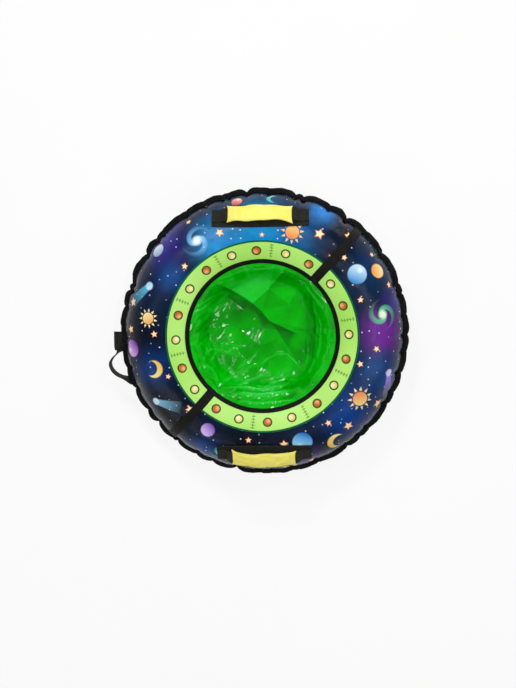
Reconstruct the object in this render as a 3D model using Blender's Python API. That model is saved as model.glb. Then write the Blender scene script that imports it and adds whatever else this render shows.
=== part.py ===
"""Inflatable snow tube lying on the snow: fabric cover, inner tube, seat, handles, tow loop, zip and valve.

Metres, +Z up. The origin is the middle of the base, on the ground. +Y is the side of the upper handle.
A section of the ring is written as (distance from the axis, height), and a turn in it starts at the rim.
"""

import math

import bmesh
import bpy
from mathutils import Matrix, Vector

# Whole object
overall_diameter = 0.950
gap = 0.0003
weld_distance = 0.00001
cutter_overrun = 0.004

# Inner tube, inflated
tube_width = 0.270
tube_height = 0.240
tube_wall = 0.0012
tube_columns = 30
section_steps = 20

# Cover panels
columns = 60
cover_thickness = 0.0010
base_thickness = 0.0012
flange_width = 0.0060
hole_step = 7
hem_lift_shares = (1, 1, 0.25)

# Rim binding, gathered into a scalloped edge
rim_binding_width = 0.0155
rim_tape_thickness = 0.0009
rim_lip_gap = 0.0010
scallop_count = 36
scallop_points = 3
scallop_depth = 0.0075
scallop_depth_shares = (1.0, 0.55, 0.8, 0.35, 0.9, 0.6, 0.45)

# Hole binding
hole_binding_width = 0.0160
hole_tape_thickness = 0.0009
seat_to_tube = 0.0014

# Seat film
seat_thickness = 0.0008
seat_tuck = 0.0150
seat_last_step = 9
seat_corner_width = 0.0150
seat_corner_drop = 0.0150
seat_centre_height = 0.1140
seat_ring_shares = (0.78, 0.45, 0)
seat_rise_shares = (0.48, 0.14, 0)
seat_fold_height = 0.0035
seat_fold_count = 5
seat_fold_wander = 2

# Radial straps
strap_width = 0.030
strap_thickness = 0.0016
strap_angles = {"upper": 48, "lower": 228}
strap_end_gap = 0.0006

# Handles
handle_angles = {"upper": 91, "lower": 271}
handle_offset = 0.0678
handle_length = 0.310
handle_sewn_length = 0.029
handle_sewn_shares = (1 / 3, 2 / 3, 1)
handle_ramp_length = 0.018
handle_width = 0.046
handle_thickness = 0.0018
handle_bow = 0.030
handle_across = 4
sleeve_end_gap = 0.007
sleeve_width = 0.052
sleeve_height = 0.0090
sleeve_flare = 0.0060
sleeve_flare_shares = (1, 0.35, 0.1, 0, 0, 0, 0.1, 0.35, 1)
sleeve_side_shares = ((1, 0), (0.92, 0.62), (0.5, 0.9), (0, 1))
sleeve_clearance = 0.0004

# Tow loop
tow_width = 0.038
tow_thickness = 0.0018
tow_tab_start = 0.002
tow_tab_length = 0.058
tow_tab_inset = 0.0125
tow_loop_top = 0.080
tow_loop_bottom = 0.147
tow_loop_stand_off = 0.015
tow_loop_reach = 0.030
tow_loop_shares = ((0.12, 0.42), (0.3, 0.86), (0.5, 1), (0.68, 0.86), (0.86, 0.45))
tow_lean_share = 0.35
tow_neck_shares = ((0.34, 0.3), (0.67, 0.7))
tow_end_distance = 0.1506
tow_joint_gap = 0.0004

# Zip in the base
zip_middle_angle = 270
zip_length = 0.350
zip_step = 3
zip_columns = 8
zip_slot_width = 0.005
zip_tape_width = 0.013
zip_tape_thickness = 0.0008
zip_tape_inner_edge = 0.0014
zip_chain_edge = 0.0022
zip_chain_width = 0.0020
zip_chain_height = 0.0020
zip_tooth_reach = 0.0034
zip_tooth_count = 38
zip_tooth_share = 0.43
zip_tooth_place_shares = {1: 0.25, -1: 0.75}
zip_stop_length = 0.0050
zip_stop_clear = 0.0008
slider_length = 0.014
slider_plate = 0.0013
slider_side_clearance = 0.0006
slider_top_clearance = 0.0004
slider_flange = 0.0014
slider_bail_length = 0.0080
slider_bail_width = 0.0030
slider_bail_bar = 0.0012
slider_bail_height = 0.0036
pull_bar = 0.0022
pull_slot_length = 0.0051
pull_slot_clearance = 0.0006
pull_length = 0.030
pull_width = 0.010
pull_thickness = 0.0018

# Valve on the hole side of the inner tube
valve_angle = 90
valve_step = 11
valve_patch_radius = 0.016
valve_patch_height = 0.0020
valve_boss_radius = 0.0075
valve_boss_height = 0.0100
valve_stem_radius = 0.0038
valve_stem_length = 0.0340
valve_stem_inside = 0.0035
valve_bore_radius = 0.0021
valve_core_head = 0.0016
valve_core_length = 0.0200
valve_core_depth = 0.0012
valve_cap_radius = 0.0052
valve_cap_length = 0.0100
valve_cap_top = 0.0016
valve_sides = 12

ring_radius = overall_diameter / 2 - rim_binding_width - cover_thickness - gap - tube_width / 2
centre_height = tube_height / 2 + base_thickness + gap
equator_radius = ring_radius + tube_width / 2
hem_lift = seat_to_tube + seat_thickness + hole_tape_thickness + gap
handle_distance = ring_radius + handle_offset
handle_free_half = handle_length / 2 - handle_sewn_length
handle_hinge_half = handle_free_half - handle_ramp_length
sleeve_length = 2 * (handle_hinge_half - sleeve_end_gap)
tow_loop_axis_distance = overall_diameter / 2 + tow_loop_stand_off


def material(name, red, green, blue, roughness, metallic=0.0):
    made = bpy.data.materials.new(name)
    made.use_nodes = True
    shader = made.node_tree.nodes["Principled BSDF"]
    shader.inputs["Base Color"].default_value = (red, green, blue, 1)
    shader.inputs["Roughness"].default_value = roughness
    shader.inputs["Metallic"].default_value = metallic
    return made


def make_object(name, bm, finish, pivot=None, smooth_angle=40):
    """Turns a bmesh into a named object. A moving piece has its origin on its joint's axis."""
    bmesh.ops.recalc_face_normals(bm, faces=bm.faces)
    if pivot is not None:
        bmesh.ops.translate(bm, verts=bm.verts, vec=-pivot)
    mesh = bpy.data.meshes.new(name)
    bm.to_mesh(mesh)
    bm.free()
    mesh.shade_smooth()
    mesh.set_sharp_from_angle(angle=math.radians(smooth_angle))
    made = bpy.data.objects.new(name, mesh)
    if pivot is not None:
        made.location = pivot
    if finish:
        mesh.materials.append(finish)
    bpy.context.scene.collection.objects.link(made)
    return made


def boolean(target, other, operation):
    """Cuts or joins another object, which stays as a guide."""
    other.hide_render = True
    other.display_type = "WIRE"
    modifier = target.modifiers.new(other.name, "BOOLEAN")
    modifier.operation = operation
    modifier.object = other
    modifier.solver = "EXACT"


def sweep(bm, sections):
    """Skins a row of sections, each the same number of points in the same order, and closes both ends."""
    rings = [[bm.verts.new(point) for point in section] for section in sections]
    count = len(rings[0])
    for first, second in zip(rings, rings[1:]):
        for i in range(count):
            j = (i + 1) % count
            bm.faces.new((first[i], first[j], second[j], second[i]))
    bm.faces.new(rings[0])
    bm.faces.new(rings[-1])
    return rings


def revolve(points, steps, closed=True):
    """Spins a section about Z. An open section starts and ends on the axis."""
    bm = bmesh.new()
    verts = [bm.verts.new((point[0], 0, point[1])) for point in points]
    ends = zip(verts, verts[1:] + verts[:1]) if closed else zip(verts, verts[1:])
    edges = [bm.edges.new(pair) for pair in ends]
    bmesh.ops.spin(
        bm, geom=verts + edges, cent=(0, 0, 0), axis=(0, 0, 1), angle=math.tau, steps=steps, use_merge=True
    )
    bmesh.ops.remove_doubles(bm, verts=bm.verts, dist=weld_distance)
    return bm


def offset_line(points, distance):
    """Moves a section line to its left by a distance, with mitred corners."""
    normals = []
    for a, b in zip(points, points[1:]):
        along = (b - a).normalized()
        normals.append(Vector((-along.y, along.x)))
    moved = [points[0] + normals[0] * distance]
    for point, before, after in zip(points[1:], normals, normals[1:]):
        middle = (before + after).normalized()
        moved.append(point + middle * (distance / middle.dot(before)))
    moved.append(points[-1] + normals[-1] * distance)
    return moved


def tube_turn(step):
    return math.tau * step / section_steps


def tube_point(turn, offset=0.0):
    """A point of the inflated section, moved outwards along its normal."""
    cosine, sine = math.cos(turn), math.sin(turn)
    normal = Vector((cosine * tube_height, sine * tube_width)).normalized()
    point = Vector((ring_radius + tube_width / 2 * cosine, centre_height + tube_height / 2 * sine))
    return point + normal * offset


def on_cover(x, y, offset=0.0):
    """The point above (x, y) on the upper side of the inflated cover, and the outward normal there."""
    half_width = tube_width / 2 + gap + cover_thickness + offset
    half_height = tube_height / 2 + gap + cover_thickness + offset
    distance = math.hypot(x, y)
    cosine = (distance - ring_radius) / half_width
    sine = math.sqrt(max(0.0, 1 - cosine * cosine))
    flat = cosine / half_width
    normal = Vector((flat * x / distance, flat * y / distance, sine / half_height)).normalized()
    return Vector((x, y, centre_height + half_height * sine)), normal


def build_inner_tube(rubber):
    outline = [tube_point(tube_turn(step)) for step in range(section_steps)]
    hollow = [tube_point(tube_turn(step), -tube_wall) for step in range(section_steps)]
    tube = make_object("inner_tube", revolve(outline, tube_columns), rubber)
    boolean(tube, make_object("inner_tube_hollow", revolve(hollow, tube_columns), None), "DIFFERENCE")
    return tube


def cover_inside():
    """The upper panel's inner line, from the hole's edge over the crown and down to the rim flange."""
    line = []
    for step in range(hole_step, 0, -1):
        index = hole_step - step
        share = hem_lift_shares[index] if index < len(hem_lift_shares) else 0
        line.append(tube_point(tube_turn(step), gap + (hem_lift if share else 0) * share))
    line.append(Vector((equator_radius + gap, centre_height + gap / 2)))
    line.append(line[-1] + Vector((flange_width, 0)))
    return line


def base_inside():
    """The base panel's inner line, from the axis out under the tube and up to the rim flange."""
    quarter = section_steps * 3 // 4
    line = [Vector((0, base_thickness))]
    for step in range(quarter, section_steps):
        line.append(tube_point(tube_turn(step), gap))
    line.append(Vector((equator_radius + gap, centre_height - gap / 2)))
    line.append(line[-1] + Vector((flange_width, 0)))
    return line


def build_cover_top(fabric):
    inside = cover_inside()
    outside = offset_line(inside, cover_thickness)
    return make_object("cover_top", revolve(inside + outside[::-1], columns), fabric)


def build_cover_base(film):
    inside = base_inside()
    outside = offset_line(inside, -base_thickness)
    return make_object("cover_base", revolve(inside + outside[::-1], columns, closed=False), film)


def scallop(turn_share):
    """How far the gathered rim draws in, as a share of the depth, at a share of the full turn."""
    place = turn_share * scallop_count
    bump = round(place) % scallop_count
    in_valley = abs(place - round(place)) < 1 / scallop_points / 2
    return scallop_depth_shares[bump % len(scallop_depth_shares)] if in_valley else 0


def build_rim_binding(tape):
    groove = equator_radius + gap + flange_width + 2 * gap
    lip = equator_radius + gap + cover_thickness + rim_lip_gap
    rim = overall_diameter / 2
    over = centre_height + gap / 2 + cover_thickness + gap
    under = centre_height - gap / 2 - base_thickness - gap
    section = [
        (lip, over + rim_tape_thickness),
        (rim, over + rim_tape_thickness / 2),
        (rim, under - rim_tape_thickness / 2),
        (lip, under - rim_tape_thickness),
        (lip, under),
        (groove, under),
        (groove, over),
        (lip, over),
    ]
    bm = revolve(section, scallop_count * scallop_points)
    for vert in bm.verts:
        distance = math.hypot(vert.co.x, vert.co.y)
        if distance > groove + gap:
            share = (math.atan2(vert.co.y, vert.co.x) / math.tau) % 1
            drawn = (distance - scallop_depth * scallop(share)) / distance
            vert.co.x *= drawn
            vert.co.y *= drawn
    return make_object("rim_binding", bm, tape)


def build_hole_binding(tape):
    """A tape folded over the hole's edge. It follows the straight first stretch of the panel's section."""
    inside = cover_inside()
    along = (inside[1] - inside[0]).normalized()
    out = Vector((-along.y, along.x))
    edge = -gap
    fold = edge - hole_tape_thickness
    over = cover_thickness + gap
    section = [
        (hole_binding_width, over + hole_tape_thickness),
        (fold, over + hole_tape_thickness),
        (fold, -gap - hole_tape_thickness),
        (hole_binding_width, -gap - hole_tape_thickness),
        (hole_binding_width, -gap),
        (edge, -gap),
        (edge, over),
        (hole_binding_width, over),
    ]
    points = [inside[0] + along * s + out * w for s, w in section]
    return make_object("hole_binding", revolve(points, columns), tape)


def seat_line():
    """The film's underside: tucked under the hole's edge, down the tube's slope, then a slack dish."""
    edge = tube_point(tube_turn(hole_step), seat_to_tube)
    before = tube_point(tube_turn(hole_step - 1), seat_to_tube)
    line = [edge + (before - edge).normalized() * seat_tuck]
    for step in range(hole_step, seat_last_step + 1):
        line.append(tube_point(tube_turn(step), seat_to_tube))
    corner = line[-1] + Vector((-seat_corner_width, -seat_corner_drop))
    line.append(corner)
    rise = corner.y - seat_centre_height
    for ring, share in zip(seat_ring_shares, seat_rise_shares):
        line.append(Vector((corner.x * ring, seat_centre_height + rise * share)))
    return line, corner


def build_seat(film):
    under, corner = seat_line()
    over = offset_line(under, -seat_thickness)
    over[-1].x = 0
    bm = revolve(under[::-1] + over, columns, closed=False)
    for vert in bm.verts:
        share = min(1.0, math.hypot(vert.co.x, vert.co.y) / corner.x)
        slack = 4 * share * (1 - share)  # 1 halfway out, none at the middle and the corner
        turn = math.atan2(vert.co.y, vert.co.x)
        wave = math.cos(seat_fold_count * turn + seat_fold_wander * math.sin(2 * turn))
        vert.co.z += seat_fold_height * slack * wave
    return make_object("seat", bm, film)


def build_strap(name, angle, webbing):
    """Webbing laid over the crown from binding to binding. It bends over one corner column."""
    line = offset_line(cover_inside()[:-1], cover_thickness + gap)
    start = (line[1] - line[0]).normalized()
    line[0] = line[0] + start * (hole_binding_width + strap_end_gap)
    end = (line[-1] - line[-2]).normalized()
    line[-1] = line[-1] - end * (rim_tape_thickness + cover_thickness + strap_end_gap)
    top = offset_line(line, strap_thickness)
    half = strap_width / 2
    fall = half * math.tan(math.pi / columns)
    sections = []
    for low, high in zip(line, top):
        sections.append(
            [
                Vector((low.x - fall, -half, low.y)),
                Vector((low.x, 0, low.y)),
                Vector((low.x - fall, half, low.y)),
                Vector((high.x - fall, half, high.y)),
                Vector((high.x, 0, high.y)),
                Vector((high.x - fall, -half, high.y)),
            ]
        )
    bm = bmesh.new()
    sweep(bm, sections)
    bmesh.ops.rotate(bm, verts=bm.verts, cent=(0, 0, 0), matrix=Matrix.Rotation(math.radians(angle), 3, "Z"))
    return make_object(name, bm, webbing)


def handle_lift(x):
    """How far the handle's webbing stands off the cover. It is zero along the sewn ends."""
    return handle_bow * max(0.0, 1 - (x / handle_free_half) ** 2)


def handle_laid(x):
    """1 where the webbing is sewn down, 0 where it is free."""
    return min(1.0, max(0.0, (abs(x) - handle_hinge_half) / handle_ramp_length))


def handle_frame(x):
    """The middle of the webbing at a place along the handle, the way across it and the way out of it."""
    point, normal = on_cover(x, handle_distance)
    level = on_cover(0, handle_distance)[1]
    out = level.lerp(Vector((0, normal.y, normal.z)).normalized(), handle_laid(x)).normalized()
    across = Vector((0, out.z, -out.y))
    return point + out * (gap + handle_lift(x) + handle_thickness / 2), across, out


def handle_section(x):
    """The webbing's section: it follows the cover where it is sewn and is flat where it is free."""
    middle, across, out = handle_frame(x)
    laid = handle_laid(x)
    low, high = [], []
    for i in range(handle_across + 1):
        side = handle_width * (i / handle_across - 0.5)
        flat = middle + across * side - out * handle_thickness / 2
        draped, normal = on_cover(x, handle_distance + across.y * side, gap)
        draped = draped + out * handle_lift(x)
        point = flat.lerp(draped, laid)
        low.append(point)
        high.append(point + out * handle_thickness)
    return low + high[::-1]


def sleeve_section(x, share, grow=0.0):
    """A flattened oval round the webbing, flared at the sleeve's ends."""
    middle, across, out = handle_frame(x)
    half_width = (sleeve_width + sleeve_flare * share) / 2 + grow
    half_height = sleeve_height / 2 + grow
    quarter = [(half_width * a, half_height * b) for a, b in sleeve_side_shares]
    upper = quarter + [(-a, b) for a, b in quarter[-2::-1]]
    points = upper + [(a, -b) for a, b in upper[-2:0:-1]]
    return [middle + across * a + out * b for a, b in points]


def build_handle(side, angle, webbing, sleeve_fabric):
    hinge_x = handle_hinge_half
    axis_point = handle_frame(hinge_x)[0]
    turn = Matrix.Rotation(math.radians(angle - 90), 4, "Z")
    pivot = turn @ Vector((0, axis_point.y, axis_point.z))

    def place(bm):
        bmesh.ops.transform(bm, matrix=turn, verts=bm.verts)
        return bm

    count = len(sleeve_flare_shares)
    sleeve_stations = [sleeve_length * (i / (count - 1) - 0.5) for i in range(count)]
    stations = [-hinge_x + gap] + sleeve_stations + [hinge_x - gap]
    bm = bmesh.new()
    sweep(bm, [handle_section(x) for x in stations])
    make_object(side + "_handle_webbing", place(bm), webbing, pivot)

    bm = bmesh.new()
    sweep(bm, [sleeve_section(x, share) for x, share in zip(sleeve_stations, sleeve_flare_shares)])
    sleeve = make_object(side + "_handle_sleeve", place(bm), sleeve_fabric, pivot)
    bm = bmesh.new()
    bore = []
    for x in stations:
        middle, across, out = handle_frame(x)
        wide = across * (handle_width / 2 + sleeve_clearance)
        high = out * (handle_thickness / 2 + sleeve_clearance)
        bore.append([middle + wide + high, middle - wide + high, middle - wide - high, middle + wide - high])
    sweep(bm, bore)
    boolean(sleeve, make_object(side + "_handle_sleeve_bore", place(bm), None, pivot), "DIFFERENCE")

    for end, sign in (("left", -1), ("right", 1)):
        places = [hinge_x, hinge_x + handle_ramp_length / 2, handle_free_half]
        places += [handle_free_half + handle_sewn_length * share for share in handle_sewn_shares]
        bm = bmesh.new()
        sweep(bm, [handle_section(sign * x) for x in places])
        make_object(side + "_handle_end_" + end, place(bm), webbing)


def band_section(middle, across, out):
    """Flat webbing's edges and middle line, from its middle and its whole width and thickness vectors."""
    wide, thick = across / 2, out / 2
    low = [middle - wide - thick, middle - thick, middle + wide - thick]
    high = [middle + wide + thick, middle + thick, middle - wide + thick]
    return low + high


def tow_section(middle, along, twist, axis=None):
    """Webbing that runs along a level direction, lying flat at twist 0 and standing on edge at twist 1."""
    along = along.normalized()
    side = Vector((along.y, -along.x, 0))
    up = Vector((0, 0, 1))
    angle = twist * math.pi / 2
    across = side * math.cos(angle) + up * math.sin(angle)
    out = up * math.cos(angle) - side * math.sin(angle)
    if axis is not None:
        level = Vector((axis.y, -axis.x, 0))
        out = -level * (1 / abs(level.dot(side)))
    return band_section(middle, across * tow_width, out * tow_thickness)


def tow_loop_ends():
    """The two points of the loop's hinge line, on its upper and lower end."""
    height = tow_tab_height()
    top = Vector((-tow_loop_axis_distance, -tow_loop_top, height))
    bottom = Vector((-tow_loop_axis_distance, -tow_loop_bottom, height))
    return top, bottom


def tow_tab_height():
    """Under the rim binding, a clearance below it."""
    under = gap / 2 + base_thickness + gap + rim_tape_thickness
    return centre_height - under - gap - tow_thickness / 2


def build_tow_loop(webbing):
    height = tow_tab_height()
    top, bottom = tow_loop_ends()
    axis = (bottom - top).normalized()
    down = Vector((0, -1, 0))
    tab_x = -(overall_diameter / 2 - tow_tab_inset + tow_width / 2)
    bend = Vector((-tow_lean_share, -1, 0)).normalized()
    tab_end = Vector((tab_x, -tow_tab_start - tow_tab_length, height))
    neck_start = tab_end + down * (tow_thickness / 2)
    neck_end = top - axis * tow_joint_gap / 2

    bm = bmesh.new()
    sections = [tow_section(Vector((tab_x, -tow_tab_start, height)), down, 0), tow_section(tab_end, down, 0)]
    for share, twist in tow_neck_shares:
        sections.append(tow_section(neck_start.lerp(neck_end, share), bend, twist))
    sections.append(tow_section(neck_end, bend, 1, axis))
    sweep(bm, sections)
    make_object("tow_loop_upper_tab", bm, webbing)

    out = Vector((axis.y, -axis.x, 0))
    span = (bottom - top).length - tow_joint_gap
    start = top + axis * tow_joint_gap / 2
    places = [start]
    places += [start + axis * span * a + out * tow_loop_reach * b for a, b in tow_loop_shares]
    places.append(start + axis * span)
    sections = []
    for i, place in enumerate(places):
        before, after = places[max(0, i - 1)], places[min(len(places) - 1, i + 1)]
        at_end = i in (0, len(places) - 1)
        sections.append(tow_section(place, after - before, 1, axis if at_end else None))
    bm = bmesh.new()
    sweep(bm, sections)
    make_object("tow_loop", bm, webbing, (top + bottom) / 2)

    seam_radius = overall_diameter / 2 - tow_tab_inset
    turn = math.pi + math.asin(tow_end_distance / seam_radius)
    inward = -Vector((math.cos(turn), math.sin(turn), 0))
    rim_point = -inward * seam_radius
    rim_point.z = height
    edge_point = rim_point - inward * (tow_tab_inset + gap)
    leave = bottom + axis * tow_joint_gap / 2
    bend = (edge_point - leave).normalized()
    bm = bmesh.new()
    sections = [tow_section(leave, bend, 1, axis)]
    for share, twist in tow_neck_shares:
        sections.append(tow_section(leave.lerp(edge_point, share), bend, 1 - twist))
    sections += [tow_section(edge_point, inward, 0), tow_section(rim_point, inward, 0)]
    sweep(bm, sections)
    make_object("tow_loop_lower_tab", bm, webbing)


class ZipTrack:
    """The zip's line on the base: a circle about Z on one flat stretch of the base's section."""

    def __init__(self):
        outside = offset_line(base_inside(), -base_thickness)
        first, second = outside[zip_step], outside[zip_step + 1]
        self.middle = (first + second) / 2
        self.up = (second - first).normalized()
        self.out = Vector((self.up.y, -self.up.x))
        self.half_turn = zip_length / self.middle.x / 2
        self.middle_turn = math.radians(zip_middle_angle)

    def place(self, turn, across, out):
        flat = self.middle + self.up * across + self.out * out
        return Vector((flat.x * math.cos(turn), flat.x * math.sin(turn), flat.y))

    def frame(self, turn):
        """A matrix whose X runs along the zip, Y across it and Z out of the base."""
        along = Vector((-math.sin(turn), math.cos(turn), 0))
        radial = Vector((math.cos(turn), math.sin(turn), 0))
        across = radial * self.up.x + Vector((0, 0, self.up.y))
        out = radial * self.out.x + Vector((0, 0, self.out.y))
        matrix = Matrix((along, across, out)).transposed().to_4x4()
        matrix.translation = self.place(turn, 0, 0)
        return matrix

    def box(self, turns, across, out):
        sections = []
        for turn in turns:
            corners = [(across[0], out[0]), (across[1], out[0]), (across[1], out[1]), (across[0], out[1])]
            sections.append([self.place(turn, a, b) for a, b in corners])
        bm = bmesh.new()
        sweep(bm, sections)
        return bm

    def turns(self, count, extra=0.0):
        start = self.middle_turn - self.half_turn - extra
        span = 2 * (self.half_turn + extra)
        return [start + span * i / count for i in range(count + 1)]


def build_zip_chain(track, name, side, plastic):
    """One half of the zip: a spine with a row of moulded teeth that stand between the other half's."""
    pitch = 2 * track.half_turn / zip_tooth_count
    tooth = pitch * zip_tooth_share
    start = track.middle_turn - track.half_turn
    first = zip_tooth_place_shares[side] * pitch - tooth / 2
    turns = [start]
    for i in range(zip_tooth_count):
        turns += [start + i * pitch + first, start + i * pitch + first + tooth]
    turns.append(start + 2 * track.half_turn)
    low = gap + zip_tape_thickness + gap
    high = low + zip_chain_height
    inner, outer = side * zip_chain_edge, side * (zip_chain_edge + zip_chain_width)
    sections = []
    for turn in turns:
        corners = [(inner, low), (inner, high), (outer, high), (outer, low)]
        sections.append([track.place(turn, a, b) for a, b in corners])
    bm = bmesh.new()
    rings = sweep(bm, sections)
    for i in range(1, len(rings) - 1, 2):
        face = bm.faces.get((rings[i][0], rings[i][1], rings[i + 1][1], rings[i + 1][0]))
        drawn = bmesh.ops.extrude_discrete_faces(bm, faces=[face])["faces"][0]
        turn = (turns[i] + turns[i + 1]) / 2
        across = track.frame(turn).to_3x3() @ Vector((0, 1, 0))
        bmesh.ops.translate(bm, verts=drawn.verts, vec=across * (-side * zip_tooth_reach))
    make_object(name, bm, plastic)


def box_mesh(low, high):
    bm = bmesh.new()
    bmesh.ops.create_cube(bm, size=1)
    size = Vector(high) - Vector(low)
    bmesh.ops.scale(bm, vec=size, verts=bm.verts)
    bmesh.ops.translate(bm, vec=(Vector(low) + Vector(high)) / 2, verts=bm.verts)
    return bm


def build_zip(track, tape, plastic, metal):
    base = bpy.data.objects["cover_base"]
    slot = track.box(
        track.turns(zip_columns),
        (-zip_slot_width / 2, zip_slot_width / 2),
        (-base_thickness - cutter_overrun, cutter_overrun),
    )
    boolean(base, make_object("zip_slot", slot, None), "DIFFERENCE")

    over_tape = gap + zip_tape_thickness
    margin = zip_stop_length / track.middle.x
    for name, side in (("zip_tape_outer", 1), ("zip_tape_inner", -1)):
        across = sorted((side * zip_tape_inner_edge, side * (zip_tape_inner_edge + zip_tape_width)))
        bm = track.box(track.turns(zip_columns, 2 * margin), across, (gap, over_tape))
        make_object(name, bm, tape)
    build_zip_chain(track, "zip_teeth_outer", 1, plastic)
    build_zip_chain(track, "zip_teeth_inner", -1, plastic)

    low = over_tape + gap
    half = zip_chain_edge + zip_chain_width
    for name, sign in (("zip_end_stop", 1), ("zip_start_stop", -1)):
        near = track.middle_turn + sign * (track.half_turn + zip_stop_clear / track.middle.x)
        far = near + sign * zip_stop_length / track.middle.x
        bm = track.box([near, far], (-half, half), (low, low + zip_chain_height))
        make_object(name, bm, metal)

    inset = (slider_length / 2 + zip_stop_clear) / track.middle.x
    turn = track.middle_turn + track.half_turn - inset
    frame = track.frame(turn)
    inner = half + slider_side_clearance
    outer = inner + slider_flange
    plate_low = low + zip_chain_height + slider_top_clearance
    plate_high = plate_low + slider_plate
    foot = over_tape + slider_top_clearance
    outline = [
        (-outer, foot),
        (-inner, foot),
        (-inner, plate_low),
        (inner, plate_low),
        (inner, foot),
        (outer, foot),
        (outer, plate_high),
        (-outer, plate_high),
    ]
    bm = bmesh.new()
    sweep(bm, [[Vector((s, a, b)) for a, b in outline] for s in (-slider_length / 2, slider_length / 2)])
    bmesh.ops.transform(bm, matrix=frame, verts=bm.verts)
    axis_point = Vector((0, 0, 0))
    slider = make_object("zip_slider", bm, metal, axis_point)

    rise = plate_high + slider_bail_height
    out_long, in_long = slider_bail_length / 2, slider_bail_length / 2 - slider_bail_bar
    root = plate_high - slider_plate / 2
    arch = [
        (-out_long, root),
        (-in_long, root),
        (-in_long, rise),
        (in_long, rise),
        (in_long, root),
        (out_long, root),
        (out_long, rise + slider_bail_bar),
        (-out_long, rise + slider_bail_bar),
    ]
    bm = bmesh.new()
    sweep(bm, [[Vector((s, a, b)) for s, b in arch] for a in (-slider_bail_width / 2, slider_bail_width / 2)])
    bmesh.ops.transform(bm, matrix=frame, verts=bm.verts)
    boolean(slider, make_object("zip_slider_bail", bm, None, axis_point), "UNION")

    level = plate_high + slider_bail_height / 2
    pivot = frame @ Vector((0, 0, level))
    bm = box_mesh(
        (-pull_bar / 2, -pull_width / 2, level - pull_thickness / 2),
        (pull_length, pull_width / 2, level + pull_thickness / 2),
    )
    bmesh.ops.transform(bm, matrix=frame, verts=bm.verts)
    pull = make_object("zip_pull", bm, metal, pivot)
    slot_half = slider_bail_width / 2 + pull_slot_clearance
    bm = box_mesh(
        (pull_bar / 2, -slot_half, level - cutter_overrun),
        (pull_bar / 2 + pull_slot_length, slot_half, level + cutter_overrun),
    )
    bmesh.ops.transform(bm, matrix=frame, verts=bm.verts)
    boolean(pull, make_object("zip_pull_slot", bm, None, pivot), "DIFFERENCE")


def valve_frame():
    """A matrix at the middle of the tube's flat stretch that carries the valve. Its Z is the valve's axis."""
    first, second = tube_point(tube_turn(valve_step)), tube_point(tube_turn(valve_step + 1))
    middle = (first + second) / 2
    along = (second - first).normalized()
    flat_out = Vector((along.y, -along.x))
    turn = math.radians(valve_angle)
    radial = Vector((math.cos(turn), math.sin(turn), 0))
    out = radial * flat_out.x + Vector((0, 0, flat_out.y))
    side = Vector((-math.sin(turn), math.cos(turn), 0))
    third = out.cross(side)
    matrix = Matrix((side, third, out)).transposed().to_4x4()
    facet = math.cos(math.pi / tube_columns)
    matrix.translation = radial * middle.x * facet + Vector((0, 0, middle.y))
    return matrix


def turned(section, closed=True):
    return revolve([Vector(point) for point in section], valve_sides, closed)


def build_valve(rubber, metal, plastic):
    frame = valve_frame()

    def place(bm):
        bmesh.ops.transform(bm, matrix=frame, verts=bm.verts)
        return bm

    hole = valve_stem_radius + gap
    drill = [(0, -cutter_overrun), (hole, -cutter_overrun), (hole, cutter_overrun), (0, cutter_overrun)]
    tube = bpy.data.objects["inner_tube"]
    drilled = make_object("inner_tube_valve_hole", place(turned(drill, closed=False)), None)
    boolean(tube, drilled, "DIFFERENCE")

    patch = [
        (hole, gap),
        (valve_patch_radius, gap),
        (valve_patch_radius, gap + valve_patch_height / 2),
        (valve_boss_radius, gap + valve_patch_height),
        (valve_stem_radius + gap + valve_patch_height / 2, valve_boss_height),
        (hole, valve_boss_height),
    ]
    make_object("valve_patch", place(turned(patch)), rubber)

    stem = [
        (valve_bore_radius, -valve_stem_inside),
        (valve_stem_radius, -valve_stem_inside),
        (valve_stem_radius, valve_stem_length),
        (valve_bore_radius, valve_stem_length),
    ]
    make_object("valve_stem", place(turned(stem)), metal)

    core_radius = valve_bore_radius - gap
    core_top = valve_stem_length - valve_core_depth
    neck = valve_stem_length - valve_core_depth - valve_core_head
    core = [
        (0, core_top - valve_core_length),
        (core_radius / 2, core_top - valve_core_length),
        (core_radius, core_top - valve_core_length / 2),
        (core_radius, neck),
        (core_radius / 2, neck),
        (core_radius / 2, core_top),
        (0, core_top),
    ]
    make_object("valve_core", place(turned(core, closed=False)), metal)

    cap_low = valve_stem_length - valve_cap_length + valve_cap_top
    cap_high = valve_stem_length + gap + valve_cap_top
    cap = [
        (0, valve_stem_length + gap),
        (hole, valve_stem_length + gap),
        (hole, cap_low),
        (valve_cap_radius, cap_low),
        (valve_cap_radius, cap_high - valve_cap_top / 2),
        (valve_cap_radius - valve_cap_top / 2, cap_high),
        (0, cap_high),
    ]
    make_object("valve_cap", place(turned(cap, closed=False)), plastic, frame.translation.copy())


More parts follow.
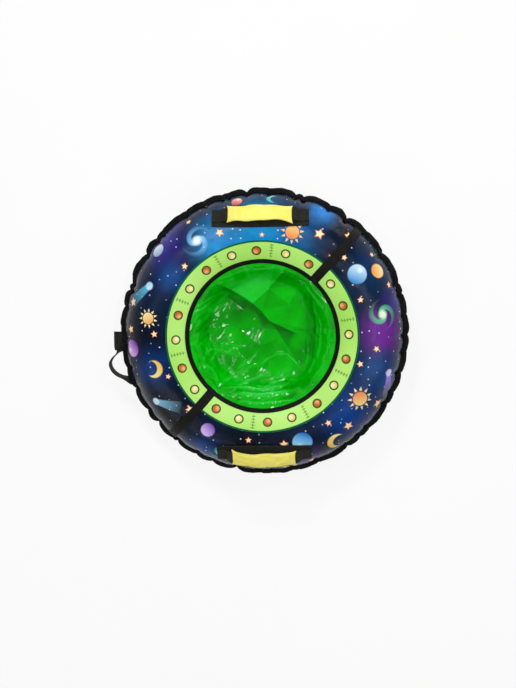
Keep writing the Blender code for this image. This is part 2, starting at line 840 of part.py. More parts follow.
def main():
    for leftover in list(bpy.data.objects):
        bpy.data.objects.remove(leftover)

    printed_fabric = material("printed_oxford_fabric", 0.012, 0.035, 0.12, 0.55)
    green_film = material("green_pvc_film", 0.0, 0.5, 0.02, 0.22)
    base_film = material("green_pvc_tarpaulin", 0.0, 0.36, 0.03, 0.4)
    black_tape = material("black_binding_tape", 0.006, 0.006, 0.006, 0.7)
    webbing = material("black_webbing", 0.012, 0.012, 0.010, 0.75)
    yellow_fabric = material("yellow_sleeve_fabric", 0.95, 0.83, 0.08, 0.6)
    butyl = material("butyl_rubber", 0.012, 0.012, 0.012, 0.5)
    brass = material("brass", 0.6, 0.42, 0.16, 0.3, 1.0)
    zinc = material("zinc_slider", 0.25, 0.25, 0.25, 0.35, 1.0)
    moulded = material("black_moulded_plastic", 0.01, 0.01, 0.01, 0.4)

    build_inner_tube(butyl)
    build_cover_top(printed_fabric)
    build_cover_base(base_film)
    build_rim_binding(black_tape)
    build_hole_binding(black_tape)
    build_seat(green_film)
    for side, angle in strap_angles.items():
        build_strap(side + "_radial_strap", angle, webbing)
    for side, angle in handle_angles.items():
        build_handle(side, angle, webbing, yellow_fabric)
    build_tow_loop(webbing)
    build_zip(ZipTrack(), black_tape, moulded, zinc)
    build_valve(butyl, brass, moulded)


main()
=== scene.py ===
# Inflatable snow tube on a pale studio floor: cloth, film, webbing and tapes made round the fixed solids.
# Metres, +Z up. The tube lies flat, and the photograph's upper side is +Y.

import bisect
import math
import random

import bmesh
import bpy
from mathutils import Matrix, Vector, noise
from mathutils.bvhtree import BVHTree
from mathutils.geometry import delaunay_2d_cdt


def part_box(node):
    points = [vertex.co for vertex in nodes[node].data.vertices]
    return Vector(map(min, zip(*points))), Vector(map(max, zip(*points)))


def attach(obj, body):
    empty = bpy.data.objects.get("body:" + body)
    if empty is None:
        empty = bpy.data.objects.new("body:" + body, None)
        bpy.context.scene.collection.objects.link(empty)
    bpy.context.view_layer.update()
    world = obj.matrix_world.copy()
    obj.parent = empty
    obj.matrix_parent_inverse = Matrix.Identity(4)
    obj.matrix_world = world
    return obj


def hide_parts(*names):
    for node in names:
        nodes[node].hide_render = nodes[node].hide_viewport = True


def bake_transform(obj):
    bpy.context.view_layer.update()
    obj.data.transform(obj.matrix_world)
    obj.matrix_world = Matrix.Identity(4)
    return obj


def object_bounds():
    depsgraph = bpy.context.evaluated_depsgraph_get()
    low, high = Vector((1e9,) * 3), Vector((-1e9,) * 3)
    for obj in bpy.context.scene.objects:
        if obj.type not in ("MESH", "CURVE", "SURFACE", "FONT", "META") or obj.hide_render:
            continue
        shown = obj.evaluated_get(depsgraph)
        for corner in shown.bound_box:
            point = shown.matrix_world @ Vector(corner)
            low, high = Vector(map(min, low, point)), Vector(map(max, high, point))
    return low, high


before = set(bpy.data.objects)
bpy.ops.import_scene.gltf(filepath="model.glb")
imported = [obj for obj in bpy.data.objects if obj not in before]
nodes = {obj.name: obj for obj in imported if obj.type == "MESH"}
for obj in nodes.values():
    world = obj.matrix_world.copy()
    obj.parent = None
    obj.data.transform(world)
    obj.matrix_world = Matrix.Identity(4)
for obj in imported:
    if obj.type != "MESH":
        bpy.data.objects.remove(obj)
cadLow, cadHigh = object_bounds()
root = "cover"
mm = 0.001


def flatDistance(point):
    return math.hypot(point.x, point.y)


def smoothStep(value):
    value = max(0.0, min(1.0, value))
    return value * value * (3 - 2 * value)


tubePoints = [vert.co for vert in nodes["inner_tube"].data.vertices]
tubeFar = max(flatDistance(point) for point in tubePoints)
tubeNear = min(flatDistance(point) for point in tubePoints)
tubeLow = min(point.z for point in tubePoints)
tubeHigh = max(point.z for point in tubePoints)
ring = {
    "radius": (tubeFar + tubeNear) / 2,
    "halfWide": (tubeFar - tubeNear) / 2,
    "halfHigh": (tubeHigh - tubeLow) / 2,
    "height": (tubeHigh + tubeLow) / 2,
    "rim": max(flatDistance(vert.co) for vert in nodes["rim_binding"].data.vertices),
}


# Camera: nearly overhead, fitted to the ring's outlines in the 516 by 688 photograph
view = {
    "distance": 4.0,
    "tilt": 8.27,
    "turn": 67.4,
    "focalPixels": 1211.2,
    "imageWide": 516,
    "imageHigh": 688,
    "centreX": 264.0,
    "centreY": 332.5,
}


def makeCamera():
    tilt, turn = math.radians(view["tilt"]), math.radians(view["turn"])
    back = Vector((math.sin(tilt) * math.cos(turn), math.sin(tilt) * math.sin(turn), math.cos(tilt)))
    right = Vector((0, 1, 0)).cross(back).normalized()
    up = back.cross(right)
    data = bpy.data.cameras.new("photoCamera")
    data.sensor_width = 36
    data.lens = data.sensor_width * view["focalPixels"] / view["imageHigh"]
    data.shift_x = -(view["centreX"] - view["imageWide"] / 2) / view["imageHigh"]
    data.shift_y = (view["centreY"] - view["imageHigh"] / 2) / view["imageHigh"]
    camera = bpy.data.objects.new("photoCamera", data)
    camera.matrix_world = Matrix((right, up, back)).transposed().to_4x4()
    camera.location = Vector((0, 0, ring["height"])) + back * view["distance"]
    bpy.context.scene.collection.objects.link(camera)
    bpy.context.scene.camera = camera


makeCamera()
print("camera placed")


# Materials

def linear(text):
    channels = [int(text[i : i + 2], 16) / 255 for i in (1, 3, 5)]
    return tuple(c / 12.92 if c <= 0.04045 else ((c + 0.055) / 1.055) ** 2.4 for c in channels) + (1,)


def addNode(tree, kind, inputs=None, **settings):
    node = tree.nodes.new("ShaderNode" + kind)
    for name, value in settings.items():
        setattr(node, name, value)
    usable = [socket for socket in node.inputs if socket.enabled]
    for key, value in (inputs or {}).items():
        socket = usable[key] if isinstance(key, int) else next(s for s in usable if s.name == key)
        if isinstance(value, bpy.types.Node):
            value = next(output for output in value.outputs if output.enabled)
        if isinstance(value, bpy.types.NodeSocket):
            tree.links.new(value, socket)
        else:
            socket.default_value = value
    return node


def newMaterial(name, roughness, specular=0.5, **fixed):
    made = bpy.data.materials.new(name)
    made.use_nodes = True
    shader = made.node_tree.nodes["Principled BSDF"]
    shader.inputs["Roughness"].default_value = roughness
    shader.inputs["Specular IOR Level"].default_value = specular
    for key, value in fixed.items():
        shader.inputs[key.replace("_", " ")].default_value = value
    return made, made.node_tree, shader


def setBump(tree, shader, height, depth, strength=1.0):
    bump = addNode(tree, "Bump", {"Height": height, "Distance": depth, "Strength": strength})
    tree.links.new(bump.outputs["Normal"], shader.inputs["Normal"])
    return bump


# Woven tape and webbing: polypropylene yarn, woven with ribs that run along the strip.
# The map runs along the strip in u and across it in v, in metres.
def wovenMaterial(name, dark, light, ribWide, pickLong, roughness, depth):
    made, tree, shader = newMaterial(name, roughness, 0.12)
    place = addNode(tree, "UVMap", uv_map="clothMap")
    split = addNode(tree, "SeparateXYZ", {0: place})
    ribPhase = addNode(tree, "Math", {0: split.outputs[1], 1: math.tau / ribWide}, operation="MULTIPLY")
    rib = addNode(tree, "Math", {0: ribPhase}, operation="SINE")
    flip = addNode(tree, "Math", {0: rib, 1: 0.0}, operation="GREATER_THAN")
    half = addNode(tree, "Math", {0: flip, 1: math.pi}, operation="MULTIPLY")
    pickPhase = addNode(tree, "Math", {0: split.outputs[0], 1: math.tau / pickLong, 2: half}, operation="MULTIPLY_ADD")
    pick = addNode(tree, "Math", {0: pickPhase}, operation="SINE")
    crown = addNode(tree, "Math", {0: rib}, operation="ABSOLUTE")
    weave = addNode(tree, "Math", {0: pick, 1: 0.35, 2: crown}, operation="MULTIPLY_ADD")
    wear = addNode(tree, "TexNoise", {"Vector": place, "Scale": 60.0, "Detail": 3.0})
    mixed = addNode(tree, "Math", {0: weave, 1: 0.3, 2: wear.outputs[0]}, operation="MULTIPLY_ADD")
    tone = addNode(tree, "MapRange", {0: mixed, 1: 0.2, 2: 1.0, 3: 0.0, 4: 1.0})
    colour = addNode(tree, "Mix", {0: tone, 1: linear(dark), 2: linear(light)}, data_type="RGBA")
    tree.links.new(colour.outputs[2], shader.inputs["Base Color"])
    setBump(tree, shader, weave, depth)
    return made


# Fine weaves are drawn 3 to 4 times as coarse as the real yarn, so that they show
webbingBlack = wovenMaterial("polypropyleneWebbing", "#050504", "#1b1a16", 3.2 * mm, 2.6 * mm, 0.55, 0.35 * mm)
# the same webbing in lighter colours for the handle, base and tow strips: painted light
litWebbingCopy = wovenMaterial("webbingPaintedLighter", "#121210", "#2c2b24", 3.2 * mm, 2.6 * mm, 0.6, 0.35 * mm)
tapeBlack = wovenMaterial("polyesterBindingTape", "#030303", "#101012", 2.0 * mm, 1.8 * mm, 0.45, 0.2 * mm)
zipCloth = wovenMaterial("polyesterZipTape", "#070708", "#1b1b1d", 1.4 * mm, 1.4 * mm, 0.6, 0.15 * mm)


# Coated oxford cloth: plain weave with a thin coating that gives a low satin shine
def sleeveMaterial():
    made, tree, shader = newMaterial("coatedOxfordYellow", 0.5, 0.3)
    place = addNode(tree, "UVMap", uv_map="clothMap")
    warp = addNode(tree, "TexWave", {"Vector": place, "Scale": 1 / (2.4 * mm) / math.tau * 2}, bands_direction="X")
    weft = addNode(tree, "TexWave", {"Vector": place, "Scale": 1 / (2.4 * mm) / math.tau * 2}, bands_direction="Y")
    weave = addNode(tree, "Math", {0: warp.outputs[1], 1: weft.outputs[1]}, operation="ADD")
    cloud = addNode(tree, "TexNoise", {"Vector": place, "Scale": 22.0, "Detail": 4.0, "Roughness": 0.6})
    tone = addNode(tree, "MapRange", {0: cloud.outputs[0], 1: 0.3, 2: 0.75, 3: 0.0, 4: 1.0})
    colour = addNode(tree, "Mix", {0: tone, 1: linear("#f4e858"), 2: linear("#fbf184")}, data_type="RGBA")
    fine = addNode(tree, "Math", {0: weave, 1: 0.08, 2: cloud.outputs[0]}, operation="MULTIPLY_ADD")
    tree.links.new(colour.outputs[2], shader.inputs["Base Color"])
    setBump(tree, shader, fine, 0.9 * mm)
    return made


# Calendered PVC film: glass-smooth and a little see-through. The green of each flat panel between
# the creases carries painted shade and painted highlights, kept in the mesh as a vertex attribute
def filmMaterial():
    made, tree, shader = newMaterial("calenderedPvcFilm", 0.05, 0.3)
    place = addNode(tree, "TexCoord")
    panel = addNode(tree, "Attribute", attribute_name="paintedFilmShading")
    wide = addNode(tree, "TexNoise", {"Vector": place.outputs["Object"], "Scale": 9.0, "Detail": 3.0})
    cloud = addNode(tree, "MapRange", {0: wide.outputs[0], 1: 0.3, 2: 0.7, 3: -0.15, 4: 0.15})
    tone = addNode(tree, "Math", {0: panel.outputs["Fac"], 1: cloud}, operation="ADD", use_clamp=True)
    deep = addNode(tree, "MapRange", {0: tone, 1: 0.0, 2: 0.5, 3: 0.0, 4: 1.0})
    pale = addNode(tree, "MapRange", {0: tone, 1: 0.5, 2: 1.0, 3: 0.0, 4: 1.0})
    # painted shade mixes towards the deep green, painted highlight towards the pale green
    under = addNode(tree, "Mix", {0: deep, 1: linear("#006e02"), 2: linear("#00bc06")}, data_type="RGBA")
    colour = addNode(tree, "Mix", {0: pale, 1: under, 2: linear("#38dc54")}, data_type="RGBA")
    tree.links.new(colour.outputs[2], shader.inputs["Base Color"])
    # sharp little creases: the ridges of two noises, crowded in some places and absent in others
    fine = addNode(tree, "TexNoise", {"Vector": place.outputs["Object"], "Scale": 42.0, "Detail": 4.0, "Distortion": 2.2})
    ridge = addNode(tree, "Math", {0: fine.outputs[0], 1: 0.5}, operation="SUBTRACT")
    sharp = addNode(tree, "Math", {0: ridge}, operation="ABSOLUTE")
    streak = addNode(tree, "Mapping", {"Vector": place.outputs["Object"], "Rotation": (0, 0, 0.9), "Scale": (3.0, 0.7, 1)})
    long = addNode(tree, "TexNoise", {"Vector": streak, "Scale": 24.0, "Detail": 3.0, "Distortion": 1.0})
    longRidge = addNode(tree, "Math", {0: long.outputs[0], 1: 0.5}, operation="SUBTRACT")
    longSharp = addNode(tree, "Math", {0: longRidge}, operation="ABSOLUTE")
    crowd = addNode(tree, "MapRange", {0: wide.outputs[0], 1: 0.42, 2: 0.6, 3: 0.15, 4: 1.6})
    busy = addNode(tree, "Math", {0: longSharp, 1: crowd}, operation="MULTIPLY")
    height = addNode(tree, "Math", {0: sharp, 1: 0.6, 2: busy}, operation="MULTIPLY_ADD")
    setBump(tree, shader, height, 1.4 * mm, 0.2)
    return made


# PVC tarpaulin: a polyester scrim shows through the coating as a faint square grid
def tarpaulinMaterial():
    made, tree, shader = newMaterial("pvcTarpaulin", 0.34, IOR=1.53)
    place = addNode(tree, "TexCoord")
    across = addNode(tree, "TexWave", {"Vector": place.outputs["Object"], "Scale": 60.0}, bands_direction="X")
    along = addNode(tree, "TexWave", {"Vector": place.outputs["Object"], "Scale": 60.0}, bands_direction="Y")
    grid = addNode(tree, "Math", {0: across.outputs[1], 1: along.outputs[1]}, operation="MULTIPLY")
    scuff = addNode(tree, "TexNoise", {"Vector": place.outputs["Object"], "Scale": 14.0, "Detail": 5.0})
    tone = addNode(tree, "MapRange", {0: scuff.outputs[0], 1: 0.35, 2: 0.7, 3: 0.0, 4: 1.0})
    colour = addNode(tree, "Mix", {0: tone, 1: linear("#008f12"), 2: linear("#0aab20")}, data_type="RGBA")
    tree.links.new(colour.outputs[2], shader.inputs["Base Color"])
    setBump(tree, shader, grid, 0.25 * mm)
    return made


# Plain solids under the cloth: moulded, turned and cast surfaces with a fine grain
def grainMaterial(name, dark, light, roughness, metal, scale, depth):
    made, tree, shader = newMaterial(name, roughness, Metallic=metal)
    place = addNode(tree, "TexCoord")
    grain = addNode(tree, "TexNoise", {"Vector": place.outputs["Object"], "Scale": scale, "Detail": 4.0})
    tone = addNode(tree, "MapRange", {0: grain.outputs[0], 1: 0.35, 2: 0.65, 3: 0.0, 4: 1.0})
    colour = addNode(tree, "Mix", {0: tone, 1: linear(dark), 2: linear(light)}, data_type="RGBA")
    tree.links.new(colour.outputs[2], shader.inputs["Base Color"])
    setBump(tree, shader, grain.outputs[0], depth)
    return made


sleeveYellow = sleeveMaterial()
filmGreen = filmMaterial()
tarpaulinGreen = tarpaulinMaterial()
butylRubber = grainMaterial("mouldedButylRubber", "#161616", "#242424", 0.55, 0.0, 120.0, 0.2 * mm)
turnedBrass = grainMaterial("turnedBrass", "#b48a3c", "#cfa650", 0.28, 1.0, 300.0, 0.05 * mm)
castZinc = grainMaterial("nickelPlatedZinc", "#8d8d90", "#b4b4b6", 0.3, 1.0, 260.0, 0.05 * mm)
mouldedAcetal = grainMaterial("mouldedAcetal", "#0c0c0d", "#1c1c1e", 0.38, 0.0, 200.0, 0.05 * mm)
spunThread = grainMaterial("spunPolyesterThread", "#101012", "#2a2a2e", 0.6, 0.0, 400.0, 0.1 * mm)
print("materials made")


# Section of the inflated tube: an angle of 0 is the rim and 90 the crown

def sectionPoint(angle, offset):
    cosine, sine = math.cos(angle), math.sin(angle)
    normal = Vector((cosine / ring["halfWide"], sine / ring["halfHigh"])).normalized()
    return (
        Vector((ring["radius"] + ring["halfWide"] * cosine, ring["height"] + ring["halfHigh"] * sine))
        + normal * offset
    ), normal


def aroundZ(flat, turn, lift=0.0):
    return Vector((flat.x * math.cos(turn), flat.x * math.sin(turn), flat.y + lift))


def coverAt(x, y, offset=0.0):
    # the point over (x, y) on the cloth of the upper panel, and the way out of it
    halfWide = ring["halfWide"] + cover["offTube"] + cover["thick"] + offset
    halfHigh = ring["halfHigh"] + cover["offTube"] + cover["thick"] + offset
    distance = math.hypot(x, y)
    cosine = max(-1.0, min(1.0, (distance - ring["radius"]) / halfWide))
    sine = math.sqrt(1 - cosine * cosine)
    normal = Vector((cosine / halfWide * x / distance, cosine / halfWide * y / distance, sine / halfHigh))
    return Vector((x, y, ring["height"] + halfHigh * sine)), normal.normalized()


# Gathers: the rim seam is drawn in at notches, and a pucker runs inwards from each

cover = {
    "holeAngle": 129.0,
    "offTube": 0.4 * mm,
    "thick": 0.9 * mm,
    "flange": 6.0 * mm,
    "columns": 760,
    "rows": 52,
    "bulge": 3.0 * mm,
    "bulgeStart": 60 * mm,
    "pucker": 6.5 * mm,
    "crinkle": 1.5 * mm,
    "crinkleLong": 55 * mm,
    "unevenness": 1.4 * mm,
    "drawnDown": 42 * mm,
}
gathers = {
    "count": 46,
    "jitter": 0.42,
    "shallow": 3.5 * mm,
    "deep": 12.0 * mm,
    "deepest": 16.0 * mm,
    "deepTurns": (53.5, 75, 98, 147, 162, 223, 255),
    "deepReach": 4.5,
    "shortPucker": 18 * mm,
    "longPucker": 75 * mm,
    "puckerWide": 5.0 * mm,
    "ripple": 2.4 * mm,
    "lumps": 5.0 * mm,
    "fullSpan": math.radians(6.0),
}


def makeNotches():
    rng = random.Random(11)
    notches = []
    for i in range(gathers["count"]):
        turn = (i + gathers["jitter"] * rng.uniform(-1, 1)) * 360 / gathers["count"]
        depth = gathers["shallow"] + (gathers["deep"] - gathers["shallow"]) * rng.random() ** 1.6
        near = min(abs((turn - deep + 180) % 360 - 180) for deep in gathers["deepTurns"])
        if near < gathers["deepReach"]:
            depth = gathers["deepest"]
        reach = gathers["shortPucker"] + (gathers["longPucker"] - gathers["shortPucker"]) * rng.random()
        notches.append((math.radians(turn % 360), depth, reach, rng.uniform(-1, 1)))
    return sorted(notches)


notches = makeNotches()
notchTurns = [notch[0] for notch in notches]


def betweenNotches(turn):
    turn = turn % math.tau
    i = bisect.bisect(notchTurns, turn)
    before, after = notches[i - 1], notches[i % len(notches)]
    span = (after[0] - before[0]) % math.tau
    share = ((turn - before[0]) % math.tau) / span
    return before, after, share, span


def rimDrawn(turn):
    # how far in the rim seam is drawn: nothing at the crown of a scallop, most at a notch
    before, after, share, span = betweenNotches(turn)
    arch = math.sin(math.pi * share) ** 0.6 * min(1.0, span / gathers["fullSpan"])
    lump = noise.noise(Vector((math.cos(turn), math.sin(turn), 0.7)) * 17)
    return (before[1] * (1 - share) + after[1] * share) * (1 - arch) + (0.5 + lump / 2) * gathers["lumps"]


def rimRipple(turn):
    before, after, share, span = betweenNotches(turn)
    return gathers["ripple"] * math.sin(math.tau * share + before[3]) * (0.4 + 0.6 * abs(before[3]))


def gatherLift(turn, fromRim):
    # how far the cloth stands out between puckers, at a distance in from the rim seam
    before, after, share, span = betweenNotches(turn)
    reach = before[2] * (1 - share) + after[2] * share
    fade = math.exp(-((fromRim / reach) ** 1.5)) * min(1.0, fromRim / cover["bulgeStart"])
    lift = cover["bulge"] * fade * math.sin(math.pi * share) ** 0.8
    for notch, gap in ((before, share), (after, 1 - share)):
        # a pucker leans a little sideways on its way in
        away = gap * span * ring["rim"] + notch[3] * 0.12 * fromRim * (1 if notch is before else -1)
        length = math.exp(-((fromRim / notch[2]) ** 2))
        depth = cover["pucker"] * (0.35 + 0.65 * notch[1] / gathers["deepest"])
        wide = gathers["puckerWide"] * (1 + fromRim / (60 * mm))
        lift -= depth * length * math.exp(-((away / wide) ** 2))
    around = Vector((math.cos(turn), math.sin(turn), 0)) * 38
    fine = noise.noise(around + Vector((0, 0, fromRim / (70 * mm)))) * cover["crinkle"]
    return lift + fine * math.exp(-((fromRim / cover["crinkleLong"]) ** 1.5))


def seamPull(turn, fromRim):
    # how far the cloth follows the drawn-up seam: inwards, and up or down with its ripple
    share = math.exp(-((fromRim / cover["drawnDown"]) ** 2))
    return rimDrawn(turn) * 0.8 * share, rimRipple(turn) * share


# Building helpers

def spunLine(line, columns, closed=False):
    # spins a section line about Z; each vertex keeps its share of the way along the line
    bm = bmesh.new()
    along = bm.verts.layers.float.new("along")
    verts = []
    for i, point in enumerate(line):
        vert = bm.verts.new((point[0], 0, point[1]))
        vert[along] = i
        verts.append(vert)
    pairs = list(zip(verts, verts[1:])) + ([(verts[-1], verts[0])] if closed else [])
    edges = [bm.edges.new(pair) for pair in pairs]
    bmesh.ops.spin(
        bm, geom=verts + edges, cent=(0, 0, 0), axis=(0, 0, 1), angle=math.tau, steps=columns, use_merge=True
    )
    bmesh.ops.remove_doubles(bm, verts=bm.verts, dist=0.01 * mm)
    return bm, along


def turnOf(vert):
    return math.atan2(vert.co.y, vert.co.x) % math.tau


def mapRound(bm, along, lengths, radius):
    # a map that runs along the turn in u and along the section in v, in metres
    layer = bm.loops.layers.uv.new("clothMap")
    for face in bm.faces:
        turns = [turnOf(loop.vert) for loop in face.loops]
        wraps = max(turns) - min(turns) > math.pi
        for loop, turn in zip(face.loops, turns):
            if wraps and turn < math.pi:
                turn += math.tau
            loop[layer].uv = (turn * radius, lengths[round(loop.vert[along])])


def lengthsOf(line):
    total, lengths = 0.0, [0.0]
    for a, b in zip(line, line[1:]):
        total += (Vector(b) - Vector(a)).length
        lengths.append(total)
    return lengths


def faceAwayFromTube(bm):
    # the cloth lies round the tube, so its outer face looks away from the middle of the tube's section
    bmesh.ops.recalc_face_normals(bm, faces=bm.faces)
    total = 0.0
    for face in bm.faces:
        spot = face.calc_center_median()
        out = max(flatDistance(spot), 0.01 * mm)
        middle = Vector((spot.x / out * ring["radius"], spot.y / out * ring["radius"], ring["height"]))
        total += face.normal.dot((spot - middle).normalized()) * face.calc_area()
    if total < 0:
        bmesh.ops.reverse_faces(bm, faces=bm.faces)


def finishPiece(bm, name, material, body=root, slot=None, nodeNames=(), smooth=50, spun=False, recalculate=True):
    if spun:
        faceAwayFromTube(bm)
    elif recalculate:
        bmesh.ops.recalc_face_normals(bm, faces=bm.faces)
    mesh = bpy.data.meshes.new(name)
    bm.to_mesh(mesh)
    bm.free()
    mesh.shade_smooth()
    if smooth:
        mesh.set_sharp_from_angle(angle=math.radians(smooth))
    piece = bpy.data.objects.new(name, mesh)
    bpy.context.scene.collection.objects.link(piece)
    mesh.materials.append(material)
    if nodeNames:
        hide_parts(*nodeNames)
    if body:
        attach(piece, body)
    return piece


def thicken(piece, thick, offset=-1.0):
    modifier = piece.modifiers.new("thickness", "SOLIDIFY")
    modifier.thickness = thick
    modifier.offset = offset
    modifier.use_even_offset = True
    return modifier


def soften(piece, levels=1):
    modifier = piece.modifiers.new("smoothing", "SUBSURF")
    modifier.levels = levels
    modifier.render_levels = levels


# The print: a space pattern of plain stars, planets and moons on a night sky, and a lime band with rivets

printed = {
    "bandOuter": 0.3050,
    "bandLine": 6.0 * mm,
    "rivetRadius": 0.2775,
    "repeats": 10,
    "markTurn": 12,
    "rivetAside": 9.7,
    "rivetOuter": 15.5 * mm,
    "rivetInner": 11.0 * mm,
    "markWide": 2.0 * mm,
    "markReach": 23 * mm,
    "tickPitch": 9.5 * mm,
    "tickWide": 2.6 * mm,
    "tickReach": 6.0 * mm,
    "motifScale": 1.22,
    "starCell": 52 * mm,
    "starSmall": 9 * mm,
    "starLarge": 20 * mm,
    "starShare": 0.6,
    "starOuter": 0.447,
    "starWaist": 0.52,
    "dotCell": 30 * mm,
    "dotShare": 0.36,
    "weavePitch": 1.6 * mm,
    "creaseReach": 110 * mm,
    "creaseHigh": 9.0 * mm,
}


def flatRadius(planRadius):
    # distance out on the flat cloth of a circle that has this radius seen from above
    start = math.radians(cover["holeAngle"])
    offset = cover["offTube"] + cover["thick"]
    steps = 400
    last, total = sectionPoint(start, offset)[0], 0.0
    first = last.x
    for i in range(1, steps + 1):
        point = sectionPoint(start * (1 - i / steps), offset)[0]
        total += (point - last).length
        last = point
        if point.x >= planRadius:
            break
    return first + total


def printSpot(planRadius, turnDegrees):
    far, turn = flatRadius(planRadius), math.radians(turnDegrees)
    return far * math.cos(turn), far * math.sin(turn)


# Glows: plan radius, turn, size in metres, colour and strength
glows = (
    (0.330, 92, 0.20, "#0086c8", 1.3),
    (0.345, 116, 0.13, "#2f9fe8", 1.0),
    (0.345, 70, 0.12, "#0a5c9c", 1.0),
    (0.440, 64, 0.08, "#1a90f0", 1.1),
    (0.430, 136, 0.13, "#3c2f9c", 1.0),
    (0.350, 146, 0.08, "#0d4c96", 0.8),
    (0.390, 3, 0.12, "#6a1f90", 1.2),
    (0.440, 16, 0.08, "#3a2f96", 0.9),
    (0.400, 32, 0.12, "#0c3a6c", 0.9),
    (0.360, 196, 0.10, "#04408c", 1.0),
    (0.430, 244, 0.09, "#0c50a8", 0.9),
    (0.370, 318, 0.15, "#0a3f8c", 0.9),
    (0.430, 288, 0.10, "#4a2690", 0.9),
    (0.400, 343, 0.11, "#12509c", 0.9),
)
# Near-black patches, largest on the lower left: plan radius, turn and size
nearBlackPatches = ((0.400, 222, 0.19), (0.420, 178, 0.14), (0.350, 262, 0.16), (0.340, 40, 0.08), (0.450, 300, 0.12))

# Motifs: kind, plan radius, turn, size in metres, tilt, and two colours
motifs = (
    ("galaxy", 0.372, 124, 44 * mm, 25, "#eaf6ff", "#7cc4f4"),
    ("sun", 0.350, 74, 31 * mm, 20, "#ffd27a", "#e8622e"),
    ("moon", 0.436, 141, 19 * mm, 0, "#dfe9f4", "#8fa8cc"),
    ("comet", 0.398, 156, 34 * mm, 150, "#f4fbff", "#5cc8f0"),
    ("sun", 0.372, 171, 27 * mm, -30, "#fff0b0", "#f0963c"),
    ("orb", 0.428, 186, 24 * mm, 60, "#e6b3f2", "#7a3cb0"),
    ("crescent", 0.366, 197, 24 * mm, 40, "#fff0a8", "#f2c45a"),
    ("comet", 0.410, 212, 32 * mm, 230, "#ffffff", "#8fd0f0"),
    ("moon", 0.352, 240, 19 * mm, 0, "#d8baf2", "#7c56b4"),
    ("galaxy", 0.412, 250, 34 * mm, 15, "#c8fff2", "#2fb8a0"),
    ("orb", 0.366, 291, 27 * mm, -15, "#9fe6ff", "#2a78c8"),
    ("crescent", 0.420, 305, 26 * mm, 120, "#fff0a8", "#f2c45a"),
    ("sun", 0.372, 328, 34 * mm, -20, "#ffe08a", "#e05a2e"),
    ("comet", 0.425, 344, 32 * mm, 20, "#ffffff", "#a88ff0"),
    ("galaxy", 0.392, 11, 42 * mm, 35, "#e2ffd8", "#5cd090"),
    ("moon", 0.425, 30, 20 * mm, 0, "#ffe0a0", "#f0a040"),
    ("orb", 0.365, 34, 26 * mm, 55, "#bfe6ff", "#3a88c8"),
    ("crescent", 0.442, 86, 17 * mm, -30, "#b8f0ec", "#30b8b0"),
    ("orb", 0.440, 101, 15 * mm, 0, "#ffb0a0", "#d8503c"),
)


def overlay(tree, under, mask, colour):
    return addNode(tree, "Mix", {0: mask, 1: under, 2: colour}, data_type="RGBA")


def discMask(tree, length, radius, soft=0.06):
    return addNode(
        tree, "MapRange", {0: length, 1: radius - soft, 2: radius + soft, 3: 1.0, 4: 0.0}, interpolation_type="LINEAR"
    )


